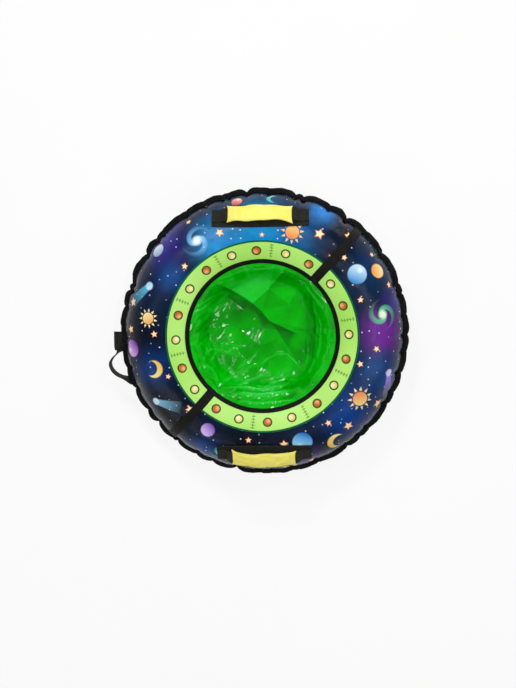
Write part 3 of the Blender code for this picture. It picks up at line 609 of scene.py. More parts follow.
def addMotif(tree, under, place, kind, planRadius, turn, size, tilt, light, dark):
    x, y = printSpot(planRadius, turn)
    angle = math.radians(turn - 90 + tilt)
    size *= printed["motifScale"]
    local = addNode(
        tree,
        "Mapping",
        {"Vector": place, "Location": (x, y, 0), "Rotation": (0, 0, angle), "Scale": (size, size, size)},
        vector_type="TEXTURE",
    )
    split = addNode(tree, "SeparateXYZ", {0: local})
    across, up = split.outputs[0], split.outputs[1]
    length = addNode(tree, "VectorMath", {0: local}, operation="LENGTH").outputs["Value"]
    lean = addNode(tree, "Math", {0: across, 1: 0.35, 2: up}, operation="MULTIPLY_ADD")
    shade = addNode(tree, "MapRange", {0: lean, 1: -0.9, 2: 0.8, 3: 1.0, 4: 0.0})
    paint = addNode(tree, "Mix", {0: shade, 1: linear(light), 2: linear(dark)}, data_type="RGBA")
    angle = addNode(tree, "Math", {0: up, 1: across}, operation="ARCTAN2")
    if kind == "galaxy":
        # two arms that wind out from a bright core
        arms = addNode(tree, "Math", {0: angle, 1: 2.0}, operation="MULTIPLY")
        wound = addNode(tree, "Math", {0: length, 1: 8.0, 2: arms}, operation="MULTIPLY_ADD")
        crest = addNode(tree, "Math", {0: wound}, operation="SINE")
        arm = addNode(tree, "MapRange", {0: crest, 1: -0.2, 2: 0.7, 3: 0.0, 4: 1.0})
        fall = addNode(tree, "MapRange", {0: length, 1: 0.3, 2: 1.0, 3: 0.95, 4: 0.0})
        shown = addNode(tree, "Math", {0: arm, 1: fall}, operation="MULTIPLY")
        core = addNode(tree, "MapRange", {0: length, 1: 0.16, 2: 0.36, 3: 1.0, 4: 0.0})
        under = overlay(tree, under, shown, linear(dark))
        return overlay(tree, under, core, linear(light))
    if kind == "sun":
        spokes = addNode(tree, "Math", {0: angle, 1: 11 / math.tau}, operation="MULTIPLY")
        saw = addNode(tree, "Math", {0: spokes, 1: 0.5}, operation="PINGPONG")
        tip = addNode(tree, "Math", {0: saw, 1: -1.2, 2: 1.0}, operation="MULTIPLY_ADD")
        inRay = addNode(tree, "Math", {0: tip, 1: length}, operation="SUBTRACT")
        ray = addNode(tree, "MapRange", {0: inRay, 1: -0.03, 2: 0.03, 3: 0.0, 4: 1.0})
        gap = discMask(tree, length, 0.68, 0.03)
        beyond = addNode(tree, "Math", {0: 1.0, 1: gap}, operation="SUBTRACT")
        rays = addNode(tree, "Math", {0: ray, 1: beyond}, operation="MULTIPLY")
        under = overlay(tree, under, rays, linear(light))
        return overlay(tree, under, discMask(tree, length, 0.58, 0.03), paint)
    disc = discMask(tree, length, 0.32 if kind == "comet" else 1.0)
    if kind == "moon":
        pits = addNode(tree, "TexVoronoi", {"Vector": local, "Scale": 1.9})
        crater = addNode(tree, "MapRange", {0: pits.outputs["Distance"], 1: 0.2, 2: 0.3, 3: 0.7, 4: 0.0})
        paint = overlay(tree, paint, crater, linear(dark))
    if kind == "orb":
        spot = addNode(tree, "VectorMath", {0: local, 1: (0.3, 0.42, 0)}, operation="DISTANCE").outputs["Value"]
        shine = addNode(tree, "MapRange", {0: spot, 1: 0.05, 2: 0.4, 3: 0.8, 4: 0.0})
        paint = overlay(tree, paint, shine, linear("#ffffff"))
    if kind == "crescent":
        bite = addNode(tree, "VectorMath", {0: local, 1: (0.45, 0.2, 0)}, operation="DISTANCE").outputs["Value"]
        away = addNode(tree, "MapRange", {0: bite, 1: 0.82, 2: 0.92, 3: 0.0, 4: 1.0})
        disc = addNode(tree, "Math", {0: disc, 1: away}, operation="MULTIPLY")
    if kind == "comet":
        spread = addNode(tree, "Math", {0: across, 1: 0.13, 2: 0.3}, operation="MULTIPLY_ADD")
        side = addNode(tree, "Math", {0: up}, operation="ABSOLUTE")
        inside = addNode(tree, "Math", {0: spread, 1: side}, operation="SUBTRACT")
        edge = addNode(tree, "MapRange", {0: inside, 1: 0.0, 2: 0.12, 3: 0.0, 4: 1.0})
        faint = addNode(tree, "MapRange", {0: across, 1: -0.1, 2: 2.4, 3: 0.95, 4: 0.0})
        front = addNode(tree, "Math", {0: across, 1: -0.1}, operation="GREATER_THAN")
        shown = addNode(tree, "Math", {0: edge, 1: faint}, operation="MULTIPLY")
        tail = addNode(tree, "Math", {0: shown, 1: front}, operation="MULTIPLY")
        under = overlay(tree, under, tail, linear(dark))
    return overlay(tree, under, disc, paint)


def addStars(tree, under, place):
    # one star in each cell of a loose net: the cell gives its place, size, tilt and colour
    net = {"Vector": place, "Scale": 1 / printed["starCell"], "Randomness": 0.6}
    cell = addNode(tree, "TexVoronoi", net, voronoi_dimensions="2D")
    local = addNode(tree, "VectorMath", {0: place, 1: cell.outputs["Position"]}, operation="SUBTRACT")
    chance = addNode(tree, "SeparateXYZ", {0: cell.outputs["Color"]})
    sizes = {0: chance.outputs[0], 1: 0.0, 2: 1.0, 3: printed["starSmall"], 4: printed["starLarge"]}
    size = addNode(tree, "MapRange", sizes)
    split = addNode(tree, "SeparateXYZ", {0: local})
    angle = addNode(tree, "Math", {0: split.outputs[1], 1: split.outputs[0]}, operation="ARCTAN2")
    tilted = addNode(tree, "Math", {0: chance.outputs[1], 1: math.pi, 2: angle}, operation="MULTIPLY_ADD")
    point = math.tau / 5
    folded = addNode(tree, "Math", {0: tilted, 1: point / 2}, operation="ADD")
    wrapped = addNode(tree, "Math", {0: folded, 1: point}, operation="FLOORED_MODULO")
    centred = addNode(tree, "Math", {0: wrapped, 1: point / 2}, operation="SUBTRACT")
    turn = addNode(tree, "Math", {0: centred}, operation="ABSOLUTE")
    length = addNode(tree, "VectorMath", {0: local}, operation="LENGTH").outputs["Value"]
    share = addNode(tree, "Math", {0: length, 1: size}, operation="DIVIDE")
    cosine = addNode(tree, "Math", {0: turn}, operation="COSINE")
    sine = addNode(tree, "Math", {0: turn}, operation="SINE")
    x = addNode(tree, "Math", {0: share, 1: cosine}, operation="MULTIPLY")
    y = addNode(tree, "Math", {0: share, 1: sine}, operation="MULTIPLY")
    inX = printed["starWaist"] * math.cos(point / 2)
    inY = printed["starWaist"] * math.sin(point / 2)
    first = addNode(tree, "Math", {0: x, 1: -inY, 2: inY}, operation="MULTIPLY_ADD")
    inside = addNode(tree, "Math", {0: y, 1: -(1 - inX), 2: first}, operation="MULTIPLY_ADD")
    mask = addNode(tree, "MapRange", {0: inside, 1: -0.02, 2: 0.02, 3: 0.0, 4: 1.0})
    core = addNode(tree, "MapRange", {0: inside, 1: 0.05, 2: 0.08, 3: 0.0, 4: 1.0})
    present = addNode(tree, "Math", {0: chance.outputs[2], 1: 1 - printed["starShare"]}, operation="GREATER_THAN")
    # stars keep clear of the band, the rim and the motifs
    out = addNode(tree, "VectorMath", {0: cell.outputs["Position"]}, operation="LENGTH").outputs["Value"]
    for limit, way in ((flatRadius(printed["bandOuter"]) + printed["starLarge"], "GREATER_THAN"),
                       (flatRadius(printed["starOuter"]), "LESS_THAN")):
        within = addNode(tree, "Math", {0: out, 1: limit}, operation=way)
        present = addNode(tree, "Math", {0: present, 1: within}, operation="MULTIPLY")
    for kind, planRadius, turn, size, *_ in motifs:
        clear = size * printed["motifScale"] * (1.5 if kind == "comet" else 1.0) + printed["starLarge"]
        away = {0: cell.outputs["Position"], 1: (*printSpot(planRadius, turn), 0)}
        away = addNode(tree, "VectorMath", away, operation="DISTANCE").outputs["Value"]
        beyond = addNode(tree, "Math", {0: away, 1: clear}, operation="GREATER_THAN")
        present = addNode(tree, "Math", {0: present, 1: beyond}, operation="MULTIPLY")
    mask = addNode(tree, "Math", {0: mask, 1: present}, operation="MULTIPLY")
    paint =addNode(tree, "Mix", {0: core, 1: linear("#e8782c"), 2: linear("#ffeab8")}, data_type="RGBA")
    return overlay(tree, under, mask, paint)


def addDots(tree, under, place):
    net = {"Vector": place, "Scale": 1 / printed["dotCell"], "Randomness": 0.85}
    cell = addNode(tree, "TexVoronoi", net, voronoi_dimensions="2D")
    chance = addNode(tree, "SeparateXYZ", {0: cell.outputs["Color"]})
    near = addNode(tree, "MapRange", {0: cell.outputs["Distance"], 1: 0.05, 2: 0.09, 3: 1.0, 4: 0.0})
    present = addNode(tree, "Math", {0: chance.outputs[0], 1: 1 - printed["dotShare"]}, operation="GREATER_THAN")
    bright = addNode(tree, "MapRange", {0: chance.outputs[1], 1: 0.0, 2: 1.0, 3: 0.25, 4: 1.0})
    lit = addNode(tree, "Math", {0: near, 1: present}, operation="MULTIPLY")
    mask = addNode(tree, "Math", {0: lit, 1: bright}, operation="MULTIPLY")
    return overlay(tree, under, mask, linear("#eaf6ff"))


def addBand(tree, under, place):
    # the lime band, its green edge, and a rivet each side of a cross-stitched seam line, ten times round
    outer = flatRadius(printed["bandOuter"])
    middle = flatRadius(printed["rivetRadius"])
    length = addNode(tree, "VectorMath", {0: place}, operation="LENGTH").outputs["Value"]
    edge = addNode(tree, "Math", {0: length, 1: outer + printed["bandLine"]}, operation="LESS_THAN")
    body = addNode(tree, "Math", {0: length, 1: outer}, operation="LESS_THAN")
    cloud = addNode(tree, "TexNoise", {"Vector": place, "Scale": 2.2, "Detail": 2.0})
    tone = addNode(tree, "MapRange", {0: cloud.outputs[0], 1: 0.35, 2: 0.65, 3: 0.0, 4: 1.0})
    lime = addNode(tree, "Mix", {0: tone, 1: linear("#a4e060"), 2: linear("#bcf07c")}, data_type="RGBA")
    under = overlay(tree, under, edge, linear("#04603c"))
    under = overlay(tree, under, body, lime)

    split = addNode(tree, "SeparateXYZ", {0: place})
    angle = addNode(tree, "Math", {0: split.outputs[1], 1: split.outputs[0]}, operation="ARCTAN2")
    step = math.tau / printed["repeats"]
    shifted = addNode(tree, "Math", {0: angle, 1: math.radians(printed["markTurn"])}, operation="SUBTRACT")
    part = addNode(tree, "Math", {0: shifted, 1: step / 2, 2: -step / 2}, operation="WRAP")
    x = addNode(tree, "Math", {0: part, 1: printed["rivetRadius"]}, operation="MULTIPLY")
    y = addNode(tree, "Math", {0: length, 1: middle}, operation="SUBTRACT")
    aside = addNode(tree, "Math", {0: x}, operation="ABSOLUTE")
    rivetX = math.radians(printed["rivetAside"]) * printed["rivetRadius"]
    fromRivet = addNode(tree, "Math", {0: aside, 1: rivetX}, operation="SUBTRACT")
    spot = addNode(tree, "CombineXYZ", {0: fromRivet, 1: y})
    far = addNode(tree, "VectorMath", {0: spot}, operation="LENGTH").outputs["Value"]
    outline = discMask(tree, far, printed["rivetOuter"], 0.4 * mm)
    core = discMask(tree, far, printed["rivetInner"], 0.4 * mm)
    glintAt = (0.3 * printed["rivetInner"], -0.35 * printed["rivetInner"], 0)
    glint = addNode(tree, "VectorMath", {0: spot, 1: glintAt}, operation="DISTANCE").outputs["Value"]
    shine = addNode(tree, "MapRange", {0: glint, 1: 1 * mm, 2: printed["rivetInner"], 3: 1.0, 4: 0.0})
    ahead = addNode(tree, "Math", {0: x, 1: 0.0}, operation="GREATER_THAN")
    copper = addNode(tree, "Mix", {0: shine, 1: linear("#c4662a"), 2: linear("#f8b478")}, data_type="RGBA")
    cream = addNode(tree, "Mix", {0: shine, 1: linear("#e6d480"), 2: linear("#fbf4c0")}, data_type="RGBA")
    fill = addNode(tree, "Mix", {0: ahead, 1: cream, 2: copper}, data_type="RGBA")
    under = overlay(tree, under, outline, linear("#2f4a10"))
    under = overlay(tree, under, core, fill)

    # the seam line runs across the band, with short ticks over it
    line = addNode(tree, "Math", {0: aside, 1: printed["markWide"] / 2}, operation="LESS_THAN")
    short = addNode(tree, "Math", {0: aside, 1: printed["tickReach"]}, operation="LESS_THAN")
    rung = addNode(tree, "Math", {0: y, 1: printed["tickPitch"]}, operation="FLOORED_MODULO")
    onRung = addNode(tree, "Math", {0: rung, 1: printed["tickWide"]}, operation="LESS_THAN")
    reach = addNode(tree, "Math", {0: y}, operation="ABSOLUTE")
    within = addNode(tree, "Math", {0: reach, 1: printed["markReach"]}, operation="LESS_THAN")
    ticks = addNode(tree, "Math", {0: short, 1: onRung}, operation="MULTIPLY")
    lines = addNode(tree, "Math", {0: ticks, 1: line}, operation="MAXIMUM")
    marks = addNode(tree, "Math", {0: lines, 1: within}, operation="MULTIPLY")
    faded = addNode(tree, "Math", {0: marks, 1: 0.8}, operation="MULTIPLY")
    inBand = addNode(tree, "Math", {0: faded, 1: body}, operation="MULTIPLY")
    return overlay(tree, under, inBand, linear("#3f7a26"))


# Printed oxford cloth: plain weave under a clear coating, with a satin shine
def printMaterial():
    made, tree, shader = newMaterial("printedOxfordCloth", 0.16, 0.2)
    place = addNode(tree, "UVMap", uv_map="printMap")
    sky = addNode(tree, "TexNoise", {"Vector": place, "Scale": 4.5, "Detail": 5.0, "Roughness": 0.6})
    tone = addNode(tree, "MapRange", {0: sky.outputs[0], 1: 0.32, 2: 0.68, 3: 0.0, 4: 1.0})
    picture = addNode(tree, "Mix", {0: tone, 1: linear("#050c1a"), 2: linear("#092247")}, data_type="RGBA")
    spots = [(*nearBlackPatch, "#020408", 1.0) for nearBlackPatch in nearBlackPatches] + list(glows)
    for planRadius, turn, size, colour, strength in spots:
        x, y = printSpot(planRadius, turn)
        away = addNode(tree, "VectorMath", {0: place, 1: (x, y, 0)}, operation="DISTANCE").outputs["Value"]
        spread = {0: away, 1: 0.0, 2: size, 3: strength, 4: 0.0}
        veil = addNode(tree, "MapRange", spread, interpolation_type="SMOOTHSTEP")
        cloudy = addNode(tree, "MapRange", {0: sky.outputs[0], 1: 0.36, 2: 0.58, 3: 0.4, 4: 1.0})
        mask = addNode(tree, "Math", {0: veil, 1: cloudy}, operation="MULTIPLY", use_clamp=True)
        picture = overlay(tree, picture, mask, linear(colour))
    picture = addDots(tree, picture, place)
    picture = addStars(tree, picture, place)
    for motif in motifs:
        picture = addMotif(tree, picture, place, *motif)
    picture = addBand(tree, picture, place)
    tree.links.new(picture.outputs[2], shader.inputs["Base Color"])
    waves = {"Vector": place, "Scale": math.tau / 20 / printed["weavePitch"]}
    warp = addNode(tree, "TexWave", waves, bands_direction="X")
    weft = addNode(tree, "TexWave", waves, bands_direction="Y")
    weave = addNode(tree, "Math", {0: warp.outputs[1], 1: weft.outputs[1]}, operation="ADD")
    soft = addNode(tree, "TexNoise", {"Vector": place, "Scale": 16.0, "Detail": 4.0})
    height = addNode(tree, "Math", {0: weave, 1: 0.05, 2: soft.outputs[0]}, operation="MULTIPLY_ADD")
    # little creases run inwards from the gathered rim, and fade out over the tube
    outward = addNode(tree, "VectorMath", {0: place}, operation="NORMALIZE")
    round_ = addNode(tree, "VectorMath", {0: outward, 1: (36, 36, 36)}, operation="MULTIPLY")
    length = addNode(tree, "VectorMath", {0: place}, operation="LENGTH").outputs["Value"]
    inwards = addNode(tree, "Math", {0: length, 1: 9.0}, operation="MULTIPLY")
    inwards = addNode(tree, "CombineXYZ", {2: inwards})
    creased = addNode(tree, "VectorMath", {0: round_, 1: inwards}, operation="ADD")
    crease = addNode(tree, "TexNoise", {"Vector": creased, "Scale": 1.0, "Detail": 3.0, "Distortion": 0.6})
    ridge = addNode(tree, "Math", {0: crease.outputs[0], 1: 0.5}, operation="SUBTRACT")
    ridge = addNode(tree, "Math", {0: ridge}, operation="ABSOLUTE")
    edge = flatRadius(ring["rim"])
    gathered = {0: length, 1: edge - printed["creaseReach"], 2: edge, 3: 0.0, 4: printed["creaseHigh"] / (1.6 * mm)}
    gathered = addNode(tree, "MapRange", gathered)
    height = addNode(tree, "Math", {0: ridge, 1: gathered, 2: height}, operation="MULTIPLY_ADD")
    setBump(tree, shader, height, 1.6 * mm)
    return made


printedCloth = printMaterial()
print("print laid out")


# Upper panel: printed cloth from the hole's edge over the crown and down to the rim seam

def panelLine(start, end, offset, rows):
    return [sectionPoint(start + (end - start) * i / rows, offset)[0] for i in range(rows + 1)]


def makeUpperPanel():
    offset = cover["offTube"] + cover["thick"]
    line = panelLine(math.radians(cover["holeAngle"]), 0, offset, cover["rows"])
    seam = Vector((line[-1].x, ring["height"] + cover["thick"] / 2))
    line[-1] = seam
    line.append(seam + Vector((cover["flange"] / 2, 0)))
    line.append(seam + Vector((cover["flange"], 0)))
    lengths = lengthsOf(line)
    bm, along = spunLine(line, cover["columns"])
    seamLength = lengths[-3]
    printMap = bm.loops.layers.uv.new("printMap")
    turns = {vert: turnOf(vert) for vert in bm.verts}
    for face in bm.faces:
        for loop in face.loops:
            turn = turns[loop.vert]
            far = line[0].x + lengths[round(loop.vert[along])]
            loop[printMap].uv = (far * math.cos(turn), far * math.sin(turn))
    for vert in bm.verts:
        i, turn = round(vert[along]), turns[vert]
        fromRim = max(0.0, seamLength - lengths[i])
        angle = math.radians(cover["holeAngle"]) * (1 - min(i, cover["rows"]) / cover["rows"])
        normal = sectionPoint(angle, 0)[1]
        rough = noise.noise(vert.co * 9) * cover["unevenness"]
        hem = min(1.0, lengths[i] / (22 * mm))
        onTube = min(1.0, fromRim / (9 * mm))
        lift = (gatherLift(turn, fromRim) * onTube + max(0.0, rough)) * hem
        inward, rise = seamPull(turn, fromRim)
        vert.co = aroundZ(line[i] + normal * lift + Vector((-inward, rise)), turn)
    piece = finishPiece(
        bm, "cover_top_cloth", printedCloth, slot="printed_fabric", nodeNames=["cover_top"], spun=True
    )
    thicken(piece, 0.5 * mm)
    return piece


makeUpperPanel()
print("upper panel made")


# Inner tube: butyl rubber that gives way under the drawn-up cover

def makeInnerTube():
    rows, columns = 48, 300
    line = [sectionPoint(math.tau * i / rows, 0)[0] for i in range(rows)]
    bm, along = spunLine(line + [line[0]], columns)
    for vert in bm.verts:
        turn = turnOf(vert)
        angle = math.tau * (round(vert[along]) % rows) / rows
        angle = min(angle, math.tau - angle)
        fromRim = angle * (ring["halfWide"] + ring["halfHigh"]) / 2
        flat, normal = sectionPoint(math.tau * (round(vert[along]) % rows) / rows, 0)
        inward, rise = seamPull(turn, fromRim)
        yielded = min(0.0, gatherLift(turn, fromRim)) - (1.2 * mm if inward > 0.3 * mm else 0)
        vert.co = aroundZ(flat + normal * yielded + Vector((-inward, rise)), turn)
    return finishPiece(bm, "inner_tube_rubber", butylRubber, slot="butyl_rubber", nodeNames=["inner_tube"])


makeInnerTube()
print("inner tube made")


# Base panel: tarpaulin under the tube and across the hole, with a slot for the zip

base = {
    "thick": 0.9 * mm,
    "gap": 1.2 * mm,
    "rows": 34,
    "columns": 480,
    "discRows": 16,
    "bulge": 0.75,
    "smoothFrom": 55 * mm,
    "smoothLong": 28 * mm,
    "slotHigh": 4.4 * mm,
}


def makeBasePanel():
    lowest = -math.pi / 2
    outer = panelLine(lowest, 0, cover["offTube"] + base["gap"], base["rows"])
    floorLine = 0.0
    disc = [Vector((outer[0].x * i / base["discRows"], floorLine)) for i in range(base["discRows"])]
    seam = Vector((outer[-1].x, ring["height"] - base["gap"] / 2))
    outer[-1] = seam
    line = disc + [Vector((point.x, max(point.y, floorLine))) for point in outer]
    line.append(seam + Vector((cover["flange"] / 2, 0)))
    line.append(seam + Vector((cover["flange"], 0)))
    lengths = lengthsOf(line)
    seamLength = lengths[-3]
    bm, along = spunLine(line, base["columns"])
    turns = {vert: turnOf(vert) for vert in bm.verts}
    for vert in bm.verts:
        i, turn = round(vert[along]), turns[vert]
        if i < base["discRows"] + 3:
            continue
        fromRim = max(0.0, seamLength - lengths[i])
        share = min(1.0, (i - base["discRows"]) / base["rows"])
        normal = sectionPoint(lowest * (1 - share), 0)[1]
        onTube = min(1.0, fromRim / (9 * mm))
        inward, rise = seamPull(turn, fromRim)
        # the puckers die out before the zip, where the panel lies smooth
        onTube *= 1 - smoothStep((fromRim - base["smoothFrom"]) / base["smoothLong"])
        flat = line[i] + normal * gatherLift(turn, fromRim) * base["bulge"] * onTube + Vector((-inward, rise))
        vert.co = aroundZ(Vector((flat.x, max(flat.y, floorLine))), turn)
    cutSlot(bm)
    piece = finishPiece(
        bm, "cover_base_cloth", tarpaulinGreen, slot="base_tarpaulin", nodeNames=["cover_base"], spun=True
    )
    thicken(piece, base["thick"])
    return piece


def zipSpan():
    # the turn and the distance from the axis that the zip's teeth cover
    points = [vert.co for name in ("zip_teeth_inner", "zip_teeth_outer") for vert in nodes[name].data.vertices]
    turns = [math.atan2(point.y, point.x) for point in points]
    heights = [point.z for point in points]
    return min(turns), max(turns), min(heights), max(heights)


def cutSlot(bm):
    # the slot is cut clean, a little narrower than the closed teeth that show through it
    first, last, low, high = zipSpan()
    middle, half, margin = (low + high) / 2, base["slotHigh"] / 2, math.radians(3)

    def nearSlot(reach, extra):
        found = []
        for face in bm.faces:
            spot = face.calc_center_median()
            turn = math.atan2(spot.y, spot.x)
            inTurn = first - extra < turn < last + extra
            if inTurn and abs(spot.z - middle) < reach and flatDistance(spot) > ring["radius"]:
                found.append(face)
        return found

    cuts = [((0, 0, middle + way * half), (0, 0, 1)) for way in (-1, 1)]
    cuts += [((0, 0, 0), (-math.sin(turn), math.cos(turn), 0)) for turn in (first, last)]
    for spot, normal in cuts:
        faces = nearSlot(15 * mm, margin)
        around = set(faces) | {edge for face in faces for edge in face.edges} | {v for face in faces for v in face.verts}
        bmesh.ops.bisect_plane(bm, geom=list(around), plane_co=spot, plane_no=normal, dist=0.01 * mm)
    bmesh.ops.delete(bm, geom=nearSlot(half, 0), context="FACES")


makeBasePanel()
print("base panel made")


# Rim binding: a tape folded over the seam and drawn up with it

rim = {
    "lip": 0.3 * mm,
    "beyond": 5.5 * mm,
    "halfThick": 3.4 * mm,
    "tape": 0.9 * mm,
    "columns": 960,
    "flop": 3.2 * mm,
    "wrinkle": 1.1 * mm,
}


def makeRimBinding():
    lip = nodeInner("rim_binding") + rim["lip"]
    far = ring["rim"] + rim["beyond"]
    wide = far - lip
    upper = [(0.0, 0.82), (0.12, 0.98), (0.35, 1.0), (0.62, 0.9), (0.85, 0.7), (0.96, 0.42)]
    shares = upper + [(1.0, 0.0)] + [(a, -b) for a, b in reversed(upper)]
    line = [Vector((lip + wide * a, ring["height"] + rim["halfThick"] * b)) for a, b in shares]
    lengths = lengthsOf(line)
    bm, along = spunLine(line, rim["columns"])
    mapRound(bm, along, lengths, far)
    for vert in bm.verts:
        turn = turnOf(vert)
        i = round(vert[along])
        share, side = shares[i]
        around = Vector((math.cos(turn), math.sin(turn), 0))
        pinch = 1 - 0.35 * math.exp(-((rimDrawn(turn) / (5 * mm) - 1.4) ** 2)) * (0.3 + 0.7 * share)
        wrinkle = noise.noise(around * 42 + Vector((0, 0, side * 0.6))) * rim["wrinkle"]
        flop = noise.noise(around * 11 + Vector((3, 0, 0))) * 2 * rim["flop"] * share**1.5
        flat = Vector((
            line[i].x - rimDrawn(turn) * (0.8 + 0.2 * share) - abs(wrinkle) * share,
            ring["height"] + (line[i].y - ring["height"]) * pinch + rimRipple(turn) + wrinkle * share + flop,
        ))
        vert.co = aroundZ(flat, turn)
    piece = finishPiece(
        bm, "rim_binding_tape", tapeBlack, slot="binding_tape", nodeNames=["rim_binding"], spun=True
    )
    thicken(piece, rim["tape"])
    return piece


def nodeInner(name):
    return min(flatDistance(vert.co) for vert in nodes[name].data.vertices)


makeRimBinding()


# Hole binding: the same kind of tape, smooth and tight, folded over the edge of the hole

hole = {"wide": 15.5 * mm, "tape": 0.8 * mm, "gap": 0.35 * mm, "columns": 360, "wave": 0.25 * mm}


def makeHoleBinding():
    start = math.radians(cover["holeAngle"])
    offset = cover["offTube"] + cover["thick"]
    edge, normal = sectionPoint(start, offset)
    after = sectionPoint(start - 0.1, offset)[0]
    onward = (after - edge).normalized()
    arc = []
    steps = 7
    for i in range(steps + 1):
        angle = start - 0.119 * i / steps
        point, out = sectionPoint(angle, offset + hole["gap"] + hole["tape"])
        bulge = 0.5 * mm * math.sin(math.pi * min(1, i / steps))
        arc.append(point + out * bulge)
    arc.reverse()
    fold = edge - onward * 0.9 * mm
    line = arc + [fold + normal * 0.9 * mm, fold - onward * 0.5 * mm, fold - normal * 1.0 * mm]
    below = edge - normal * (0.5 * mm + hole["gap"])
    line += [below + onward * 2 * mm, below + onward * hole["wide"] * 0.75]
    lengths = lengthsOf(line)
    bm, along = spunLine(line, hole["columns"])
    mapRound(bm, along, lengths, edge.x)
    for vert in bm.verts:
        turn = turnOf(vert)
        wobble = noise.noise(Vector((math.cos(turn), math.sin(turn), 0.3)) * 9) * hole["wave"]
        flat = line[round(vert[along])] + normal * wobble
        vert.co = aroundZ(flat, turn)
    piece = finishPiece(
        bm, "hole_binding_tape", tapeBlack, slot="binding_tape", nodeNames=["hole_binding"], spun=True
    )
    thicken(piece, hole["tape"])
    return piece


makeHoleBinding()
print("bindings made")


# Seat: slack PVC film with the square creases of its packing and folds along its lower edge

seat = {
    "columns": 480,
    "rows": 100,
    "thick": 0.4 * mm,
    "edgeAngle": 127.0,
    "leaveAngle": 158.0,
    "offTube": 1.6 * mm,
    "middleHigh": 0.1165,
    "reach": 0.262,
    "panelCell": 0.052,
    "panelHigh": 4.5 * mm,
    "crumpleCell": 0.026,
    "crumpleHigh": 2.0 * mm,
    "crumpleTurn": 48,
    "stretch": 2.4,
}

# Packing creases: lines across the film, each point as x, y and height in millimetres
creases = (
    ((-150, 172, 2), (-121, 157, 5), (-37, 100, 8), (22, 36, 5), (91, 25, 2)),
    ((-150, 140, -2), (-118, 120, -6), (-68, 76, -9), (-6, 14, -8), (88, 2, -4)),
    ((-37, 100, 8), (16, 148, 3), (62, 206, 0)),
    ((-118, 120, -6), (-165, 75, -3), (-212, 22, 1)),
    ((150, 132, 4), (176, 25, 5), (170, -85, 3)),
    ((128, 100, -4), (140, 10, -4), (132, -60, -3)),
    ((-6, 14, -8), (41, -23, 3), (135, -108, 2)),
    ((-202, -71, 3), (-150, -78, -3), (-112, -74, 6), (-66, -86, 1), (-34, -96, 7), (16, -83, 8), (63, -64, 6), (91, -98, 1)),
    ((-90, -127, -5), (-66, -86, 1), (-15, -44, 5)),
    ((-152, -177, 2), (-65, -189, 5), (16, -176, 3), (97, -166, 5), (150, -140, 2)),
    ((-140, -150, -4), (-60, -166, -5), (20, -154, -5), (92, -142, -4)),
    ((-85, 15, 3), (-100, -35, -4), (-112, -74, 6)),
)
# Creases with painted shade and painted highlight on the film: points in millimetres, then the tone added
# on the left and on the right of the way along, and how far it takes to fade on each side; below zero it is painted
# shade, above zero painted highlight
paintedFoldShading = (
    (((-121, 157), (-37, 100), (22, 36), (91, 5)), 0.20, 90, -0.42, 48),
    (((-37, 100), (16, 148), (62, 206)), 0.16, 60, -0.22, 85),
    (((-120, 120), (-165, 75), (-212, 22)), -0.14, 60, 0.14, 50),
    (((22, 36), (75, -41), (112, -99)), -0.16, 50, 0.06, 30),
    (((166, 114), (176, 25), (165, -60)), 0.05, 30, -0.14, 30),
    (((-135, -168), (-57, -176), (16, -182), (100, -170)), 0.08, 40, -0.1, 18),
)
# Wrinkles: points in millimetres, then half the width and the height
wrinkles = (
    (((-55, -32), (-32, 9)), 5, 1.8), (((-39, -35), (-15, 9)), 5, 2.0), (((-23, -31), (0, 6)), 5, 1.6),
    (((-91, -125), (-57, -99), (-21, -61)), 8, 3.4), (((-81, -143), (-54, -117), (-7, -103)), 8, 3.2),
    (((-68, -111), (-35, -80)), 6, 2.4), (((-21, -120), (5, -92), (46, -71), (82, -72), (101, -92), (134, -125)), 7, 4.4),
    (((-135, -173), (-57, -180), (16, -186), (68, -173)), 8, 6.5), (((-109, -194), (-35, -202), (38, -199), (112, -180)), 8, 6.5),
    (((-91, -215), (-21, -224), (53, -219), (119, -204)), 7, 5.0), (((-94, -174), (-35, -153), (24, -134)), 8, 5.0),
    (((-138, -163), (-105, -143), (-85, -139)), 7, 2.8), (((-196, -67), (-168, -49), (-147, -58)), 7, 2.8),
    (((-199, -95), (-175, -111), (-144, -151)), 8, 3.4), (((-210, -26), (-186, -41), (-179, -80)), 7, 2.6),
    (((-120, -68), (-105, -49), (-57, -48)), 7, 3.0), (((-168, -95), (-157, -65), (-131, -34)), 7, 2.8),
    (((182, 67), (190, 13), (187, -41), (177, -99)), 6, 2.8), (((204, 90), (214, 36), (216, -11)), 6, 2.2),
    (((166, 114), (173, 63)), 6, 2.2), (((141, -3), (143, -65), (136, -111)), 6, 2.4), (((134, 167), (163, 136), (193, 90)), 6, 2.4),
    (((-234, 63), (-190, 90), (-146, 128)), 7, 2.2), (((-219, 90), (-168, 119), (-120, 140)), 7, 2.4),
    (((-146, 178), (-94, 204), (-21, 219)), 7, 2.4), (((-50, 209), (31, 222)), 6, 2.0), (((-168, 67), (-124, 97)), 6, 2.0),
    (((110, -150), (60, -150), (20, -165)), 7, 2.8), (((150, -130), (172, -80)), 6, 2.4),
)


